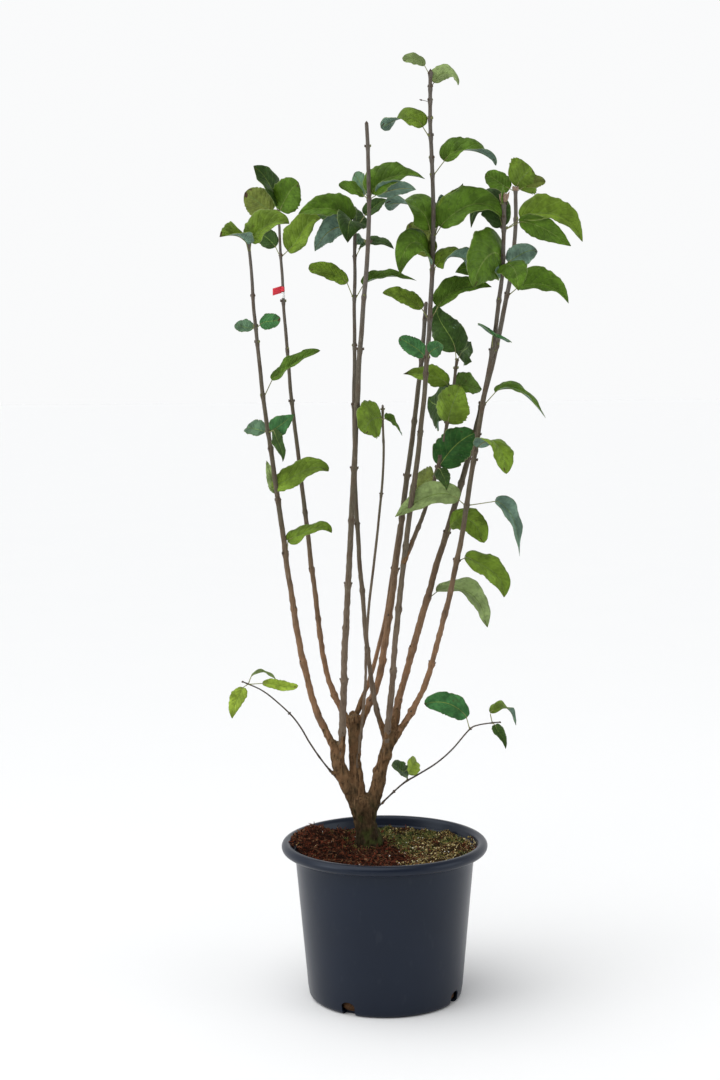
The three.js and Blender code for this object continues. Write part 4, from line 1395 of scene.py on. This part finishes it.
# With T along the leaf's line, B square to T in its upright plane and L the level direction square to both,
# the blade's normal is cos(face) B + sin(face) L. Half its width is W/2 × u^a (1-u)^b over that curve's peak,
# and u and v run from 0 to 1 along and from -1 to 1 across it.
def growLeaf(name, root, tip, habit, generator):
    number = zlib.crc32(name.encode())
    tip, root = tip + [habit["x"], habit["y"], habit["z"]], root - [0, 0, habit["down"], 0]
    outward = unit((tip - root[:3]) * [1, 1, 0])
    level = np.array([-outward[1], outward[0], 0])
    level *= -1 if level[1] > 0.02 else 1
    bow, stalkLength = leafLine(root, tip, outward, habit)
    run = runAlong(bow)
    stalk = np.interp(stalkLength * 0.97 + 0.001, [0, run[-1]], [0, 1])
    length = run[-1] * (1 - stalk)

    rows = leaf["rows"]
    u = np.linspace(0, 1, rows) ** leaf["crowding"]
    places = run[-1] * (stalk + (1 - stalk) * u)
    line = sample(places, run, bow)
    tangent = unit(np.gradient(line, axis=0))
    plumb = np.cross(level, tangent) * (1 if np.cross(level, outward)[2] > 0 else -1)
    turn = np.radians(habit["face"] + habit["twist"] * u ** 1.5 - habit["waist"] * np.sin(np.pi * u))[:, None]
    normal, side = aimed(turn, plumb, level), aimed(turn, level, -plumb)

    low, high = (generator.uniform(*limits) for limits in leaf["outline"])
    high = habit["point"] * high
    widest = low / (low + high)
    peak = widest ** low * (1 - widest) ** high
    bites = np.column_stack([u * leaf["bites"], u * 0, u * 0])
    ragged = 1 + leaf["ragged"] * noise(bites, 1.0, rows + number % 89)
    half = habit["width"] * length / 2 * (u ** low * (1 - u) ** high / peak) * ragged
    half, u = np.maximum(half, 0.0004)[:, None], u[:, None]
    edges = np.array(leaf["edges"])
    v = np.concatenate([-edges[::-1], edges])
    spread = np.abs(v)
    wave = generator.uniform(0, 2 * np.pi, 2)
    crimp = habit["waves"] * length * spread ** 2 * np.sin(u * leaf["crimps"] + wave[(v > 0).astype(int)])
    dentsAlong, dentsAcross = leaf["dents"]
    grid = np.stack(np.broadcast_arrays(u * dentsAlong, v * dentsAcross, 0.0), axis=-1).reshape(-1, 3)
    cupping = leaf["cupping"] * length * noise(grid, 1.0, number % 97).reshape(rows, -1) * spread
    bendings = np.radians(habit["fold"] - habit["curl"] * spread * 0.5)
    quilt = np.abs(np.cos(np.pi * leaf["veins"] * (u - leaf["slant"] * spread))) ** 0.6 - 0.6
    inside = np.minimum(1, spread * 4) * (1 - spread ** 4)
    puff = leaf["quilting"] * quilt * inside * np.minimum(1, half / 0.012)
    rise = half * spread * np.sin(bendings) + puff + (crimp + cupping) * np.sin(np.pi * u ** 0.6)
    back = leaf["lobes"] * habit["width"] * length * spread ** 1.3 * np.exp(-leaf["lobeFade"] * u)
    top = line[:, None] + (half * np.sign(v) * spread * np.cos(bendings))[..., None] * side[:, None]
    top = top + rise[..., None] * normal[:, None] - back[..., None] * tangent[:, None]
    uv = np.stack(np.broadcast_arrays(u, v), axis=-1)
    thickness = leaf["thickness"] * np.minimum(1, half / 0.002)
    shell = closedSheet(top, normal[:, None], thickness, uv.reshape(-1, 2))

    middleU, middleV = ((uv[:-1, :-1] + uv[1:, 1:]) / 2).reshape(-1, 2).T
    patchy = noise(np.column_stack([middleU * 9, middleV * 3, middleU * 0]), 1.0, len(name))
    spoilt = middleU + 0.12 * patchy > 1 - habit["spoilt"]
    midrib = (np.abs(middleV) < edges[0]) & (middleU < 0.93)
    sheet, slots = len(middleU), np.full(len(shell["faces"]), tints.index(habit["tint"]))
    for first, tint in ((0, habit["tint"]), (sheet, "under")):
        marked = np.full(sheet, tints.index(tint))
        marked[midrib] = tints.index("vein")
        marked[spoilt] = tints.index("brown")
        slots[first:first + sheet] = marked

    # the stalk runs on as a rib that thins out under the blade
    ribRun = np.linspace(0, stalk + (1 - stalk) * leaf["ribEnd"], 26)
    thick, thin = leaf["stalkRadius"]
    beyond = np.clip((ribRun - stalk) / (1 - stalk), 0, 1)
    radius = min(1, 0.55 + length / 0.15) * (thin + (thick - thin) * np.exp(-ribRun * 30))
    radius *= 1 - 0.85 * beyond
    rib = sample(ribRun * run[-1], run, bow)
    rib -= sample(ribRun * run[-1], places, normal) * (radius * np.minimum(1, beyond * 8) * 0.9)[:, None]
    return patch(shell["points"], shell["faces"], slots, shell["uv"]), tube(rib, radius, 8)


def buildLeaves():
    palette = [leafFinish(tint, leaf["veins"], leaf["slant"]) for tint in tints]
    stalkSkin = plainFinish("leafStalk", (0.24, 0.25, 0.07), 0.5, 60, 0.0002, 0.5)
    stalks = []
    for limb, parts in masses.items():
        blades = []
        for name, root, tips in parts:
            looks = leafLooks[name[len("foliage_"):]]
            assert len(looks) == len(tips), name
            for rank, (tip, habit) in enumerate(zip(tips, looks)):
                blade, stalk = growLeaf(f"{name}{rank}", root, tip, habit, seeded(f"{name}{rank}"))
                blades.append(blade)
                stalks.append(stalk)
        addPiece(limb.replace("_", "") + "Leaves", blades, palette, [name for name, _, _ in parts])
    addPiece("leafStalks", stalks, [stalkSkin])
    print("leaves built:", len(stalks))


# Marker

marker = {
    "limb": "cane_2",
    "band": (1.216, 1.228),  # heights of the white band's ends
    "flag": {"height": 1.2335, "length": 0.0165, "width": 0.0125, "tilt": -16, "turn": 196},
    "wave": 0.0015,  # how far the flag drifts aside
    "padding": (0.0007, 0.0009),  # how far band and loop stand off the bark
    "thickness": 0.0005,
}


# The flag is a flat tab with a slight wave: it drifts aside by sin(π t) times the wave.
def buildMarker():
    white = plainFinish("markerWhite", (0.88, 0.88, 0.87), 0.45, 300, 0.0001, 0.92)
    red = plainFinish("markerRed", (0.72, 0.028, 0.05), 0.45, 300, 0.0001, 0.8)
    line = smoothLine(limbLines[marker["limb"]], 0.002)
    inBand = line[(line[:, 2] > marker["band"][0]) & (line[:, 2] < marker["band"][1])]
    flag = marker["flag"]
    loop = line[np.abs(line[:, 2] - flag["height"]) < flag["width"] / 2 - 0.001]
    bands = [tube(part[:, :3], part[:, 3] + padding, 20, slot)
             for slot, (part, padding) in enumerate(zip((inBand, loop), marker["padding"]))]
    turn, tilt = np.radians([flag["turn"], flag["tilt"]])
    outward, level = np.array([[np.cos(turn), np.sin(turn), 0], [-np.sin(turn), np.cos(turn), 0]])
    t, w = np.meshgrid(np.linspace(0, 1, 12), np.linspace(-0.5, 0.5, 5), indexing="ij")
    t, w = t[..., None], w[..., None]
    tab = atHeight(line, flag["height"])[:3] + outward * (t * flag["length"] + 0.002)
    tab = tab + level * marker["wave"] * np.sin(np.pi * t)
    tab = tab + np.array([0, 0, 1]) * (w * flag["width"] + t * flag["length"] * np.tan(tilt))
    shell = closedSheet(tab, level, marker["thickness"])
    bands.append(patch(shell["points"], shell["faces"], 1))
    addPiece("markerTape", bands, [white, red])
    print("marker built")


placeCamera()
lightStudio()
layFloor()
buildPot()
buildSoil()
buildWood()
buildCanes()
buildLeaves()
buildMarker()
